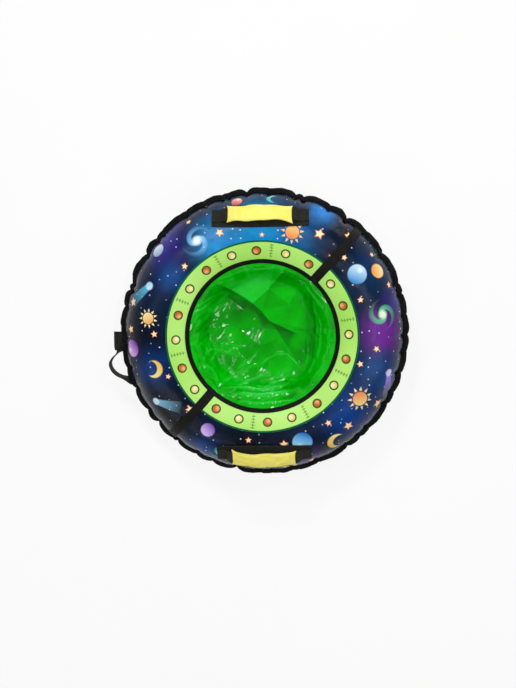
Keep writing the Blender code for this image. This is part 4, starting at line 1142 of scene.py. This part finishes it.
def seatLine():
    tube = []
    steps = 14
    for i in range(steps + 1):
        angle = math.radians(seat["edgeAngle"] + (seat["leaveAngle"] - seat["edgeAngle"]) * i / steps)
        tube.append(sectionPoint(angle, seat["offTube"])[0])
    leave = tube[-1]
    dip = leave.y - seat["middleHigh"]
    dish = [Vector((leave.x * a, seat["middleHigh"] + dip * b)) for a, b in (
        (0.93, 0.70), (0.84, 0.50), (0.7, 0.31), (0.5, 0.15), (0.25, 0.04), (0.0, 0.0))]
    rough = (tube + dish)[::-1]
    lengths = lengthsOf(rough)
    line = []
    j = 0
    for i in range(seat["rows"] + 1):
        want = lengths[-1] * i / seat["rows"]
        while j < len(rough) - 2 and lengths[j + 1] < want:
            j += 1
        share = (want - lengths[j]) / (lengths[j + 1] - lengths[j])
        line.append(rough[j].lerp(rough[j + 1], share))
    for _ in range(40):
        line[1:-1] = [(a + b * 2 + c) / 4 for a, b, c in zip(line, line[1:], line[2:])]
    return line


def foldedSheet(lines, cell, high, reach, seed):
    # flat panels between the given creases and loose points: a triangle mesh that is looked up from above
    rng = random.Random(seed)
    places, edges = [], []
    for line in lines:
        last = None
        for x, y, height in line:
            point = Vector((x * mm, y * mm, height * mm))
            match = next((i for i, other in enumerate(places) if (other - point).length < mm), None)
            if match is None:
                places.append(point)
                match = len(places) - 1
            if last is not None:
                edges.append((last, match))
            last = match
    steps = int(2 * reach / cell) + 1
    for i in range(steps):
        for j in range(steps):
            x = -reach + (i + rng.uniform(0.1, 0.9)) * cell
            y = -reach + (j + rng.uniform(0.1, 0.9)) * cell
            if not lines or all(math.hypot(x - p.x, y - p.y) > 0.7 * cell for p in places):
                places.append(Vector((x, y, rng.uniform(-high, high))))
    places += [Vector((sx * 2 * reach, sy * 2 * reach, 0)) for sx in (-1, 1) for sy in (-1, 1)]
    flats, _, faces, _, _, _ = delaunay_2d_cdt([p.to_2d() for p in places], edges, [], 0, 1e-6)
    return BVHTree.FromPolygons([(flat.x, flat.y, places[i].z) for i, flat in enumerate(flats)], faces)


def lookUp(sheet, x, y):
    hit = sheet.ray_cast(Vector((x, y, 1)), Vector((0, 0, -1)))
    return (hit[0].z, hit[2]) if hit[0] else (0.0, 0)


def nearLine(x, y, points):
    # distance to a line of points, on which side, the share of the way along, and how far past its ends
    best = None
    for i, ((ax, ay), (bx, by)) in enumerate(zip(points, points[1:])):
        dx, dy = bx - ax, by - ay
        t = ((x - ax) * dx + (y - ay) * dy) / (dx * dx + dy * dy)
        held = max(0.0, min(1.0, t))
        away = math.hypot(x - ax - dx * held, y - ay - dy * held)
        if best is None or away < best[0]:
            atEnd = (i == 0 and t < 0) or (i == len(points) - 2 and t > 1)
            past = abs(t - held) * math.hypot(dx, dy) if atEnd else 0.0
            best = (away, 1 if dx * (y - ay) > dy * (x - ax) else -1, (i + held) / (len(points) - 1), past)
    return best


# painted shading of the film: a middle tone, made darker or paler near each crease of the table
def paintedShadingAt(x, y):
    total = 0.46
    for points, leftTone, leftFade, rightTone, rightFade in paintedFoldShading:
        away, side, _, past = nearLine(x, y, points)
        tone, fade = (leftTone, leftFade) if side > 0 else (rightTone, rightFade)
        total += tone * math.exp(-away / fade - (past / 16) ** 2)
    return total


def wrinkleLift(x, y):
    total = 0.0
    for (points, wide, high), (left, right, low, top) in zip(wrinkles, wrinkleBounds):
        if left < x < right and low < y < top:
            away, _, share, past = nearLine(x, y, points)
            if away < wide:
                total = max(total, high * (1 - away / wide) * min(1.0, 5 * share + 0.15, 5 * (1 - share) + 0.15))
    return total * mm


def boundsOf(points, wide):
    xs, ys = [p[0] for p in points], [p[1] for p in points]
    return min(xs) - wide, max(xs) + wide, min(ys) - wide, max(ys) + wide


wrinkleBounds = [boundsOf(points, wide) for points, wide, high in wrinkles]


def crumpled(x, y):
    # how much the film is crumpled: most towards the lower left, least in the middle of the big panels
    lowerLeft = smoothStep((-0.55 * x - 0.83 * y + 0.04) / 0.16)
    edge = smoothStep((math.hypot(x, y) - 0.13) / 0.07)
    return 0.15 + 0.6 * lowerLeft + 0.35 * edge


def edgeFolds(turn, distance):
    # long folds side by side along the lower edge, and shorter ones up the right and left edges
    degrees = math.degrees(turn)
    total = 0.0
    for middle, reach, strength in ((265, 60, 1.0), (355, 50, 0.6), (205, 40, 0.7)):
        total += strength * smoothStep(1 - abs((degrees - middle + 180) % 360 - 180) / reach)
    wander = 0.35 * math.sin(3 * turn) + noise.noise(Vector((math.cos(turn), math.sin(turn), 0)) * 6) * 0.9
    wave = abs(((distance / (13 * mm) + wander) % 2) - 1) - 0.5
    span = smoothStep((distance - 0.140) / 0.03) * smoothStep((0.236 - distance) / 0.012)
    return wave * span * total * 5.0 * mm


def makeSeat():
    line = seatLine()
    lengths = lengthsOf(line)
    bm, along = spunLine(line, seat["columns"])
    bmesh.ops.triangulate(bm, faces=bm.faces, quad_method="ALTERNATE")
    large = foldedSheet(creases, seat["panelCell"], seat["panelHigh"], seat["reach"], 5)
    small = foldedSheet((), seat["crumpleCell"], seat["crumpleHigh"], seat["reach"] * seat["stretch"], 9)
    lean = math.radians(seat["crumpleTurn"])
    paintedFilmShading = bm.verts.layers.float.new("paintedFilmShading")
    for vert in bm.verts:
        i = round(vert[along])
        turn = turnOf(vert)
        distance = line[i].x
        x, y = distance * math.cos(turn), distance * math.sin(turn)
        before, after = line[max(0, i - 1)], line[min(len(line) - 1, i + 1)]
        tangent = (after - before).normalized()
        normal = Vector((-tangent.y, tangent.x))
        bent = noise.noise_vector(Vector((x, y, 0)) * 11) * 0.008
        panelHigh, panel = lookUp(large, x, y)
        # the little folds are longer than wide, and lean up to the right
        lengthwise = (x + bent.x) * math.cos(lean) + (y + bent.y) * math.sin(lean)
        crosswise = (y + bent.y) * math.cos(lean) - (x + bent.x) * math.sin(lean)
        crumpleHigh, facet = lookUp(small, lengthwise, crosswise * seat["stretch"])
        much = crumpled(x, y)
        hold = smoothStep((0.240 - distance) / 0.012)
        drift = noise.noise_vector(Vector((x, y, 0.5)) * 23) * 4.0
        wrinkled = wrinkleLift(x / mm + drift.x, y / mm + drift.y)
        lift = (panelHigh + crumpleHigh * much + wrinkled) * hold + edgeFolds(turn, distance)
        if distance > 0.175:
            onWall = smoothStep((distance - 0.175) / 0.02)
            lift += (max(lift + 2.0 * mm * hold, 0.0) + 0.3 * mm - lift) * onWall
        vert.co = aroundZ(line[i] + normal * lift, turn)
        # painted shade and painted highlight: each panel and facet a little darker or paler at random, and the crest
        # of a wrinkle painted paler
        paintedFacetShading = 0.06 * math.sin(panel * 2.4) + 0.03 * math.sin(facet * 1.7) * much + 0.06 * wrinkled / mm - 0.05
        vert[paintedFilmShading] = paintedShadingAt(x / mm + drift.x * 0.4, y / mm + drift.y * 0.4) + paintedFacetShading
    piece = finishPiece(bm, "seat_film", filmGreen, slot="seat_film", nodeNames=["seat"], smooth=24, spun=True)
    thicken(piece, seat["thick"])
    return piece


makeSeat()
print("seat film made")


# Strips of webbing: a flat grid laid along a path, with rounded selvedges

def layStrip(name, material, path, columns, across, thick, **kept):
    # path(share) gives the middle, the way across with its whole width, and the way out of the strip
    bm = bmesh.new()
    bmesh.ops.create_grid(bm, x_segments=columns, y_segments=across, size=0.5)
    layer = bm.loops.layers.uv.new("clothMap")
    places = {vert: (vert.co.x + 0.5, vert.co.y) for vert in bm.verts}
    marks = [path(i / columns)[0] for i in range(columns + 1)]
    lengths = lengthsOf(marks)
    for face in bm.faces:
        for loop in face.loops:
            u, v = places[loop.vert]
            loop[layer].uv = (lengths[round(u * columns)], v * path(u)[1].length)
    for vert in bm.verts:
        u, v = places[vert]
        middle, wide, out = path(u)
        vert.co = middle + wide * v - out * (abs(v) * 2) ** 6 * thick * 0.25
    bmesh.ops.recalc_face_normals(bm, faces=bm.faces)
    bm.normal_update()
    sample = min(bm.faces, key=lambda face: (face.calc_center_median() - path(0.5)[0]).length)
    if sample.normal.dot(path(0.5)[2]) < 0:
        bmesh.ops.reverse_faces(bm, faces=bm.faces)
    piece = finishPiece(bm, name, material, recalculate=False, **kept)
    thicken(piece, thick)
    return piece


radial = {"wide": 30 * mm, "thick": 1.6 * mm, "turns": {"upper": 48, "lower": 228}, "columns": 90}


def makeRadialStrap(side, degrees):
    turn = math.radians(degrees)
    outward = Vector((math.cos(turn), math.sin(turn), 0))
    sideways = Vector((-math.sin(turn), math.cos(turn), 0))
    start = math.radians(cover["holeAngle"]) - 0.11
    end = math.radians(3.5)
    offset = cover["offTube"] + cover["thick"] + radial["thick"] + 0.6 * mm

    def path(share):
        angle = start + (end - start) * share
        flat, normal = sectionPoint(angle, offset)
        wander = 0.8 * mm * math.sin(7 * share)
        nearRim = smoothStep((share - 0.8) / 0.2)
        middle = outward * (flat.x - nearRim * 1.0 * mm) + Vector((0, 0, flat.y)) + sideways * wander
        out = outward * normal.x + Vector((0, 0, normal.y))
        return middle, -sideways * radial["wide"], out

    name = side + "_radial_webbing"
    return layStrip(
        name, webbingBlack, path, radial["columns"], 10, radial["thick"],
        slot="webbing", nodeNames=[side + "_radial_strap"], body=root,
    )


for side, degrees in radial["turns"].items():
    makeRadialStrap(side, degrees)
print("radial straps made")


# Handles: webbing sewn down at both ends, with a loose yellow sleeve round its free middle

handle = {
    "turns": {"upper": 91, "lower": 271},
    "offset": 67.8 * mm,
    "nearer": 4.0 * mm,
    "length": 310 * mm,
    "sewn": 29 * mm,
    "ramp": 18 * mm,
    "wide": 47 * mm,
    "thick": 1.8 * mm,
    "baseThick": 1.0 * mm,
    "baseTop": 1.9 * mm,
    "baseWide": 58 * mm,
    "baseAside": 7.5 * mm,
    "bow": 32 * mm,
    "bowPower": 3.7,
    "sleeve": 202 * mm,
    "sleeveWide": 49 * mm,
    "sleeveHigh": 10 * mm,
    "sleeveAside": 3.0 * mm,
    "flare": 3.5 * mm,
    "columns": 60,
}
handle["free"] = handle["length"] / 2 - handle["sewn"]
handle["hinge"] = handle["free"] - handle["ramp"]
handle["distance"] = ring["radius"] + handle["offset"] - handle["nearer"]


def handleLift(x):
    return handle["bow"] * max(0.0, 1 - abs(x / handle["free"]) ** handle["bowPower"])


def handleFrame(x):
    point, normal = coverAt(x, handle["distance"])
    level = coverAt(0, handle["distance"])[1]
    laid = smoothStep((abs(x) - handle["hinge"]) / handle["ramp"])
    out = level.lerp(Vector((0, normal.y, normal.z)).normalized(), laid).normalized()
    across = Vector((0, out.z, -out.y))
    return point + out * (handleLift(x) + handle["baseTop"] + 0.1 * mm + handle["thick"]), across, out


def placeHandle(side):
    return Matrix.Rotation(math.radians(handle["turns"][side] - 90), 3, "Z")


def makeHandleStrip(side, end, sign):
    turned = placeHandle(side)

    def path(share):
        x = sign * handle["length"] / 2 * (1 - share)
        middle, across, out = handleFrame(x)
        return turned @ middle, turned @ across * handle["wide"] * (1 if sign > 0 else -1), turned @ out

    piece = layStrip(
        side + "_handle_strip_" + end, litWebbingCopy, path, handle["columns"], 12, handle["thick"],
        slot="webbing", nodeNames=[side + "_handle_end_" + end, side + "_handle_webbing"], body=None,
    )
    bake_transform(piece)
    return piece


def makeSleeve(side, seed):
    turned = placeHandle(side)
    rng = random.Random(seed)
    phases = [rng.uniform(0, math.tau) for _ in range(6)]
    columns, around = 84, 56
    bm = bmesh.new()
    bmesh.ops.create_grid(bm, x_segments=columns, y_segments=around, size=0.5)
    layer = bm.loops.layers.uv.new("clothMap")
    places = {vert: (vert.co.x, vert.co.y + 0.5) for vert in bm.verts}
    half = handle["sleeveWide"] / 2
    for face in bm.faces:
        for loop in face.loops:
            u, v = places[loop.vert]
            loop[layer].uv = (u * handle["sleeve"], v * 4.2 * half)
    for vert in bm.verts:
        u, v = places[vert]
        turn = math.tau * v - math.pi / 2
        cosine, sine = math.cos(turn), math.sin(turn)
        endShare = abs(u) * 2
        flare = endShare**9 * handle["flare"] * (1.6 if cosine * u > 0 else 0.6)
        notch = endShare**14
        edge = 1.9 * mm * math.sin(8.5 * u + phases[0] + (1.3 if cosine > 0 else 0))
        edge += 1.0 * mm * math.sin(19 * u + phases[1] + (2.1 if cosine > 0 else 0))
        wide = (half + flare) * math.copysign(abs(cosine) ** 0.78, cosine)
        wide += edge * abs(cosine) ** 2 * math.copysign(1, cosine)
        high = handle["sleeveHigh"] / 2 * math.copysign(abs(sine) ** 0.85, sine)
        dent = noise.noise(Vector((u * 7 + seed, cosine * 1.5, sine))) * 2.6 * mm * abs(sine)
        crease = abs(noise.noise(Vector((u * 15 + seed, cosine * 2.5, 3.3)))) * 1.6 * mm * max(0.0, sine)
        x = u * handle["sleeve"] + math.copysign(notch * 3.5 * mm * abs(cosine) ** 3, u)
        middle, across, out = handleFrame(x)
        rise = max(high + dent - crease, 1.6 * mm) if sine > 0 else min(high + dent * 0.3, -1.6 * mm)
        # the sleeve hangs a little towards the rim, so the webbing shows along its inner edge
        spot = middle - out * handle["thick"] / 2 - across * (wide + handle["sleeveAside"]) + out * rise
        vert.co = turned @ spot
    bmesh.ops.remove_doubles(bm, verts=bm.verts, dist=0.02 * mm)
    piece = finishPiece(
        bm, side + "_handle_cover", sleeveYellow, body=side + "_handle", slot="sleeve_fabric",
        nodeNames=[side + "_handle_sleeve"], smooth=70,
    )
    thicken(piece, 0.6 * mm, 1.0)
    return piece


def makeBaseStrip(side):
    # the wider strip that lies flat on the cover, so that it shows along the sleeve's inner edge
    turned = placeHandle(side)
    half = handle["length"] / 2

    def path(share):
        x = half * (2 * share - 1)
        point, normal = coverAt(x, handle["distance"] - handle["baseAside"])
        out = Vector((0, normal.y, normal.z)).normalized()
        across = Vector((0, out.z, -out.y))
        middle = point + out * handle["baseTop"]
        return turned @ middle, turned @ across * handle["baseWide"], turned @ out

    layStrip(side + "_handle_base_strip", litWebbingCopy, path, handle["columns"], 12, handle["baseThick"],
             slot="webbing", body=root)


for side, seed in (("upper", 3), ("lower", 8)):
    makeBaseStrip(side)
    makeHandleStrip(side, "left", -1)
    makeHandleStrip(side, "right", 1)
    makeSleeve(side, seed)
print("handles made")


# Tow loop: one strip of webbing, flat where it leaves the seam and on edge round the loop

tow = {
    "wide": 38 * mm,
    "thick": 1.9 * mm,
    "columns": 110,
    "route": (
        (-0.4815, -0.0010, 0), (-0.4815, -0.0250, 0), (-0.4812, -0.0490, 0.05), (-0.4790, -0.0620, 0.6),
        (-0.4880, -0.0740, 0.94), (-0.5030, -0.0890, 0.95), (-0.5120, -0.1050, 0.95), (-0.5100, -0.1210, 0.96),
        (-0.5010, -0.1350, 0.95), (-0.4870, -0.1460, 0.94), (-0.4700, -0.1530, 0.92), (-0.4540, -0.1585, 0.75),
        (-0.4380, -0.1620, 0.3),
    ),
}


def towPoint(share):
    # a smooth curve through the route: place, twist and direction
    route = tow["route"]
    at = share * (len(route) - 1)
    i = min(int(at), len(route) - 2)
    t = at - i
    keys = [Vector(route[max(0, min(len(route) - 1, j))]) for j in (i - 1, i, i + 1, i + 2)]
    a, b, c, d = keys
    spot = 0.5 * (2 * b + (c - a) * t + (2 * a - 5 * b + 4 * c - d) * t * t + (3 * b - a - 3 * c + d) * t**3)
    slope = 0.5 * ((c - a) + 2 * (2 * a - 5 * b + 4 * c - d) * t + 3 * (3 * b - a - 3 * c + d) * t * t)
    return spot, Vector((slope.x, slope.y, 0)).normalized()


def towPath(share):
    spot, onward = towPoint(share)
    side = Vector((onward.y, -onward.x, 0))
    up = Vector((0, 0, 1))
    angle = max(0.0, min(1.0, spot.z)) * math.pi / 2
    across = side * math.cos(angle) + up * math.sin(angle)
    out = up * math.cos(angle) - side * math.sin(angle)
    height = tabHeight + 0.4 * mm * math.sin(9 * share)
    return Vector((spot.x, spot.y, height)), across * tow["wide"], out


tabLow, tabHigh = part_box("tow_loop_upper_tab")
loopLow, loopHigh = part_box("tow_loop")
tabHeight = (loopLow.z + loopHigh.z) / 2


def makeTowHalf(name, first, last, nodeNames):
    def path(share):
        return towPath(first + (last - first) * share)

    piece = layStrip(
        name, litWebbingCopy, path, tow["columns"] // 2, 10, tow["thick"],
        slot="tow_webbing", nodeNames=nodeNames, body=None,
    )
    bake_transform(piece)
    return piece


makeTowHalf(
    "tow_strip_upper", 0.0, 0.55, ["tow_loop_upper_tab", "tow_loop"],
)
makeTowHalf(
    "tow_strip_lower", 1.0, 0.55, ["tow_loop_lower_tab", "tow_loop"],
)
print("tow loop made")


# Stitching: short capsules of thread along the seams

thread = {"wide": 0.9 * mm, "long": 3.4 * mm, "pitch": 5.0 * mm}


def sewRow(bm, places):
    # places: point, direction of the row, way out of the cloth
    for point, onward, out in places:
        side = onward.cross(out).normalized()
        frameOf = Matrix((onward.normalized(), side, out.normalized())).transposed().to_4x4()
        frameOf.translation = point
        made = bmesh.ops.create_icosphere(bm, subdivisions=1, radius=0.5)["verts"]
        bmesh.ops.scale(bm, verts=made, vec=(thread["long"], thread["wide"], thread["wide"] * 0.7))
        bmesh.ops.transform(bm, verts=made, matrix=frameOf)


def roundSeam(radiusOf, heightOf, outOf, count):
    places = []
    for i in range(count):
        turn = math.tau * (i + 0.5) / count
        onward = Vector((-math.sin(turn), math.cos(turn), 0))
        places.append((aroundZ(Vector((radiusOf(turn), heightOf(turn))), turn), onward, outOf(turn)))
    return places


def makeSeamThreads():
    bm = bmesh.new()
    lip = nodeInner("rim_binding") + rim["lip"] + 3.0 * mm
    count = int(math.tau * ring["rim"] / thread["pitch"])
    for way in (1, -1):
        sewRow(bm, roundSeam(
            lambda turn: lip - rimDrawn(turn) * 0.83,
            lambda turn: ring["height"] + way * (rim["halfThick"] + 0.15 * mm) + rimRipple(turn),
            lambda turn: Vector((0, 0, way)),
            count,
        ))
    finishPiece(bm, "rim_seam_thread", spunThread, slot="binding_tape")

    bm = bmesh.new()
    offset = cover["offTube"] + cover["thick"] + hole["gap"] + hole["tape"] + 0.35 * mm
    flat, normal = sectionPoint(math.radians(cover["holeAngle"]) - 0.1, offset)
    count = int(math.tau * flat.x / thread["pitch"])
    sewRow(bm, roundSeam(
        lambda turn: flat.x, lambda turn: flat.y, lambda turn: aroundZ(normal, turn), count,
    ))
    finishPiece(bm, "hole_seam_thread", spunThread, slot="binding_tape")


def makeHandleThreads():
    for side in handle["turns"]:
        turned = placeHandle(side)
        bm = bmesh.new()
        for sign in (-1, 1):
            near, far = handle["free"] + 3 * mm, handle["length"] / 2 - 3.5 * mm
            reach = handle["wide"] / 2 - 4 * mm
            corners = [(near, -reach), (far, -reach), (far, reach), (near, reach), (near, -reach), (far, reach)]
            corners += [(near, reach), (far, -reach)]
            runs = list(zip(corners[:5], corners[1:5])) + [(corners[4], corners[5]), (corners[6], corners[7])]
            places = []
            for (ax, ay), (bx, by) in runs:
                length = math.hypot(bx - ax, by - ay)
                steps = max(2, int(length / thread["pitch"]))
                for i in range(steps):
                    share = (i + 0.5) / steps
                    x, side_ = ax + (bx - ax) * share, ay + (by - ay) * share
                    middle, across, out = handleFrame(sign * x)
                    onward = Vector((sign * (bx - ax), 0, 0)) + across * (by - ay)
                    point = middle + across * side_ + out * 0.15 * mm
                    places.append((turned @ point, turned @ onward, turned @ out))
            sewRow(bm, places)
        finishPiece(bm, side + "_handle_thread", spunThread, slot="webbing")


makeSeamThreads()
makeHandleThreads()
print("stitching made")


# Zip: cloth tapes, and the cast and moulded solids with eased edges

def dress(name, material, ease=0.0):
    node = nodes[name]
    node.data.materials.clear()
    node.data.materials.append(material)
    if ease:
        weld = node.modifiers.new("weld", "WELD")
        weld.merge_threshold = 0.01 * mm
        bevel = node.modifiers.new("easedEdges", "BEVEL")
        bevel.width = ease
        bevel.segments = 2
        bevel.limit_method = "ANGLE"


def makeZipTapes():
    for name in ("zip_tape_inner", "zip_tape_outer"):
        low = [vert.co.copy() for vert in nodes[name].data.vertices]
        turns = [math.atan2(point.y, point.x) for point in low]
        first, last = min(turns), max(turns)
        inner = min(low, key=flatDistance)
        outer = max(low, key=flatDistance)
        steps = 80

        def path(share):
            turn = first + (last - first) * share
            innerFlat = Vector((flatDistance(inner), inner.z))
            outerFlat = Vector((flatDistance(outer), outer.z))
            a, b = aroundZ(innerFlat, turn), aroundZ(outerFlat, turn)
            onward = Vector((-math.sin(turn), math.cos(turn), 0))
            out = (b - a).cross(onward).normalized()
            if out.z > 0:
                out = -out
            # the tapes lie under the panel's cloth
            return (a + b) / 2 - out * 1.0 * mm, b - a, out

        layStrip(name + "_cloth", zipCloth, path, steps, 6, 0.5 * mm,
                 slot="zip_tape", nodeNames=[name], body=root)


makeZipTapes()
for name in ("zip_teeth_inner", "zip_teeth_outer"):
    dress(name, mouldedAcetal)
for name in ("zip_slider", "zip_pull"):
    dress(name, castZinc, 0.25 * mm)
for name in ("zip_end_stop", "zip_start_stop"):
    dress(name, castZinc, 0.2 * mm)
for name in ("valve_stem", "valve_core"):
    dress(name, turnedBrass)
dress("valve_cap", mouldedAcetal, 0.3 * mm)
dress("valve_patch", butylRubber)
print("zip and valve dressed")


# Studio: a pale floor, a wide soft light above, and smaller ones that draw highlights on the film

studio = {
    "floorReach": 50.0,
    "wallHigh": 12.0,
    "floorColour": "#efefed",
    "floorWear": "#f2f2f0",
    "backdropShare": 0.85,
    "skyColour": "#f4f6f8",
    "skyStrength": 0.27,
}
lamps = (
    ("keySoftbox", (-0.6, 2.3, 2.9), 0.8, 0.45, 47),
    ("fillSoftbox", (2.4, -0.6, 2.6), 0.7, 0.7, 17),
    ("lowSoftbox", (-1.9, -1.9, 2.2), 0.25, 0.5, 13),
    ("topSoftbox", (0.9, 1.3, 3.4), 0.25, 0.2, 19),
    ("rimSoftbox", (1.5, 3.2, 0.9), 0.5, 0.16, 20),
    ("leftStrip", (-1.5, 0.9, 3.0), 0.06, 1.1, 11),
    ("rightStrip", (1.3, -1.0, 3.2), 1.1, 0.06, 11),
)


def makeStudio():
    # a floor that rolls up into a far wall all round
    under, reach, high = min(0.0, cadLow.z) - 0.2 * mm, studio["floorReach"], studio["wallHigh"]
    sweep = [(0.0, under), (reach, under), (reach * 1.06, under + high * 0.1), (reach * 1.1, under + high * 0.35)]
    bm, _ = spunLine([Vector(point) for point in sweep + [(reach * 1.12, under + high)]], 64)
    made, tree, shader = newMaterial("paintedFloor", 0.8)
    place = addNode(tree, "TexCoord")
    mottle = addNode(tree, "TexNoise", {"Vector": place.outputs["Object"], "Scale": 4.0, "Detail": 2.0})
    tone = addNode(tree, "MapRange", {0: mottle.outputs[0], 1: 0.3, 2: 0.7, 3: 0.0, 4: 1.0})
    paints = {0: tone, 1: linear(studio["floorColour"]), 2: linear(studio["floorWear"])}
    colour = addNode(tree, "Mix", paints, data_type="RGBA")
    tree.links.new(colour.outputs[2], shader.inputs["Base Color"])
    # what is seen, reflected or seen through glass is partly a white backdrop; the rest keeps the shadow
    path = addNode(tree, "LightPath")
    seen = addNode(tree, "Math", {0: path.outputs["Is Camera Ray"], 1: path.outputs["Is Glossy Ray"]}, operation="MAXIMUM")
    seen = addNode(tree, "Math", {0: seen, 1: path.outputs["Is Transmission Ray"]}, operation="MAXIMUM")
    share = addNode(tree, "Math", {0: seen, 1: studio["backdropShare"]}, operation="MULTIPLY")
    white = addNode(tree, "Emission", {"Color": (1, 1, 1, 1), "Strength": 1.0})
    blend = addNode(tree, "MixShader", {0: share})
    tree.links.new(shader.outputs[0], blend.inputs[1])
    tree.links.new(white.outputs[0], blend.inputs[2])
    tree.links.new(blend.outputs[0], tree.nodes["Material Output"].inputs["Surface"])
    floor = finishPiece(bm, "studio_floor", made, body=None)

    world = bpy.data.worlds.new("studioSky")
    world.use_nodes = True
    bpy.context.scene.world = world
    sky = world.node_tree.nodes["Background"]
    sky.inputs["Color"].default_value = linear(studio["skyColour"])
    sky.inputs["Strength"].default_value = studio["skyStrength"]

    for name, spot, wide, high, power in lamps:
        data = bpy.data.lights.new(name, "AREA")
        data.shape = "RECTANGLE"
        data.size, data.size_y = wide, high
        data.energy = power
        lamp = bpy.data.objects.new(name, data)
        lamp.location = spot
        aim = Vector((0, 0, ring["height"])) - Vector(spot)
        lamp.rotation_euler = aim.to_track_quat("-Z", "Y").to_euler()
        bpy.context.scene.collection.objects.link(lamp)
    bpy.context.scene.view_settings.view_transform = "Standard"


makeStudio()
print("studio lit")
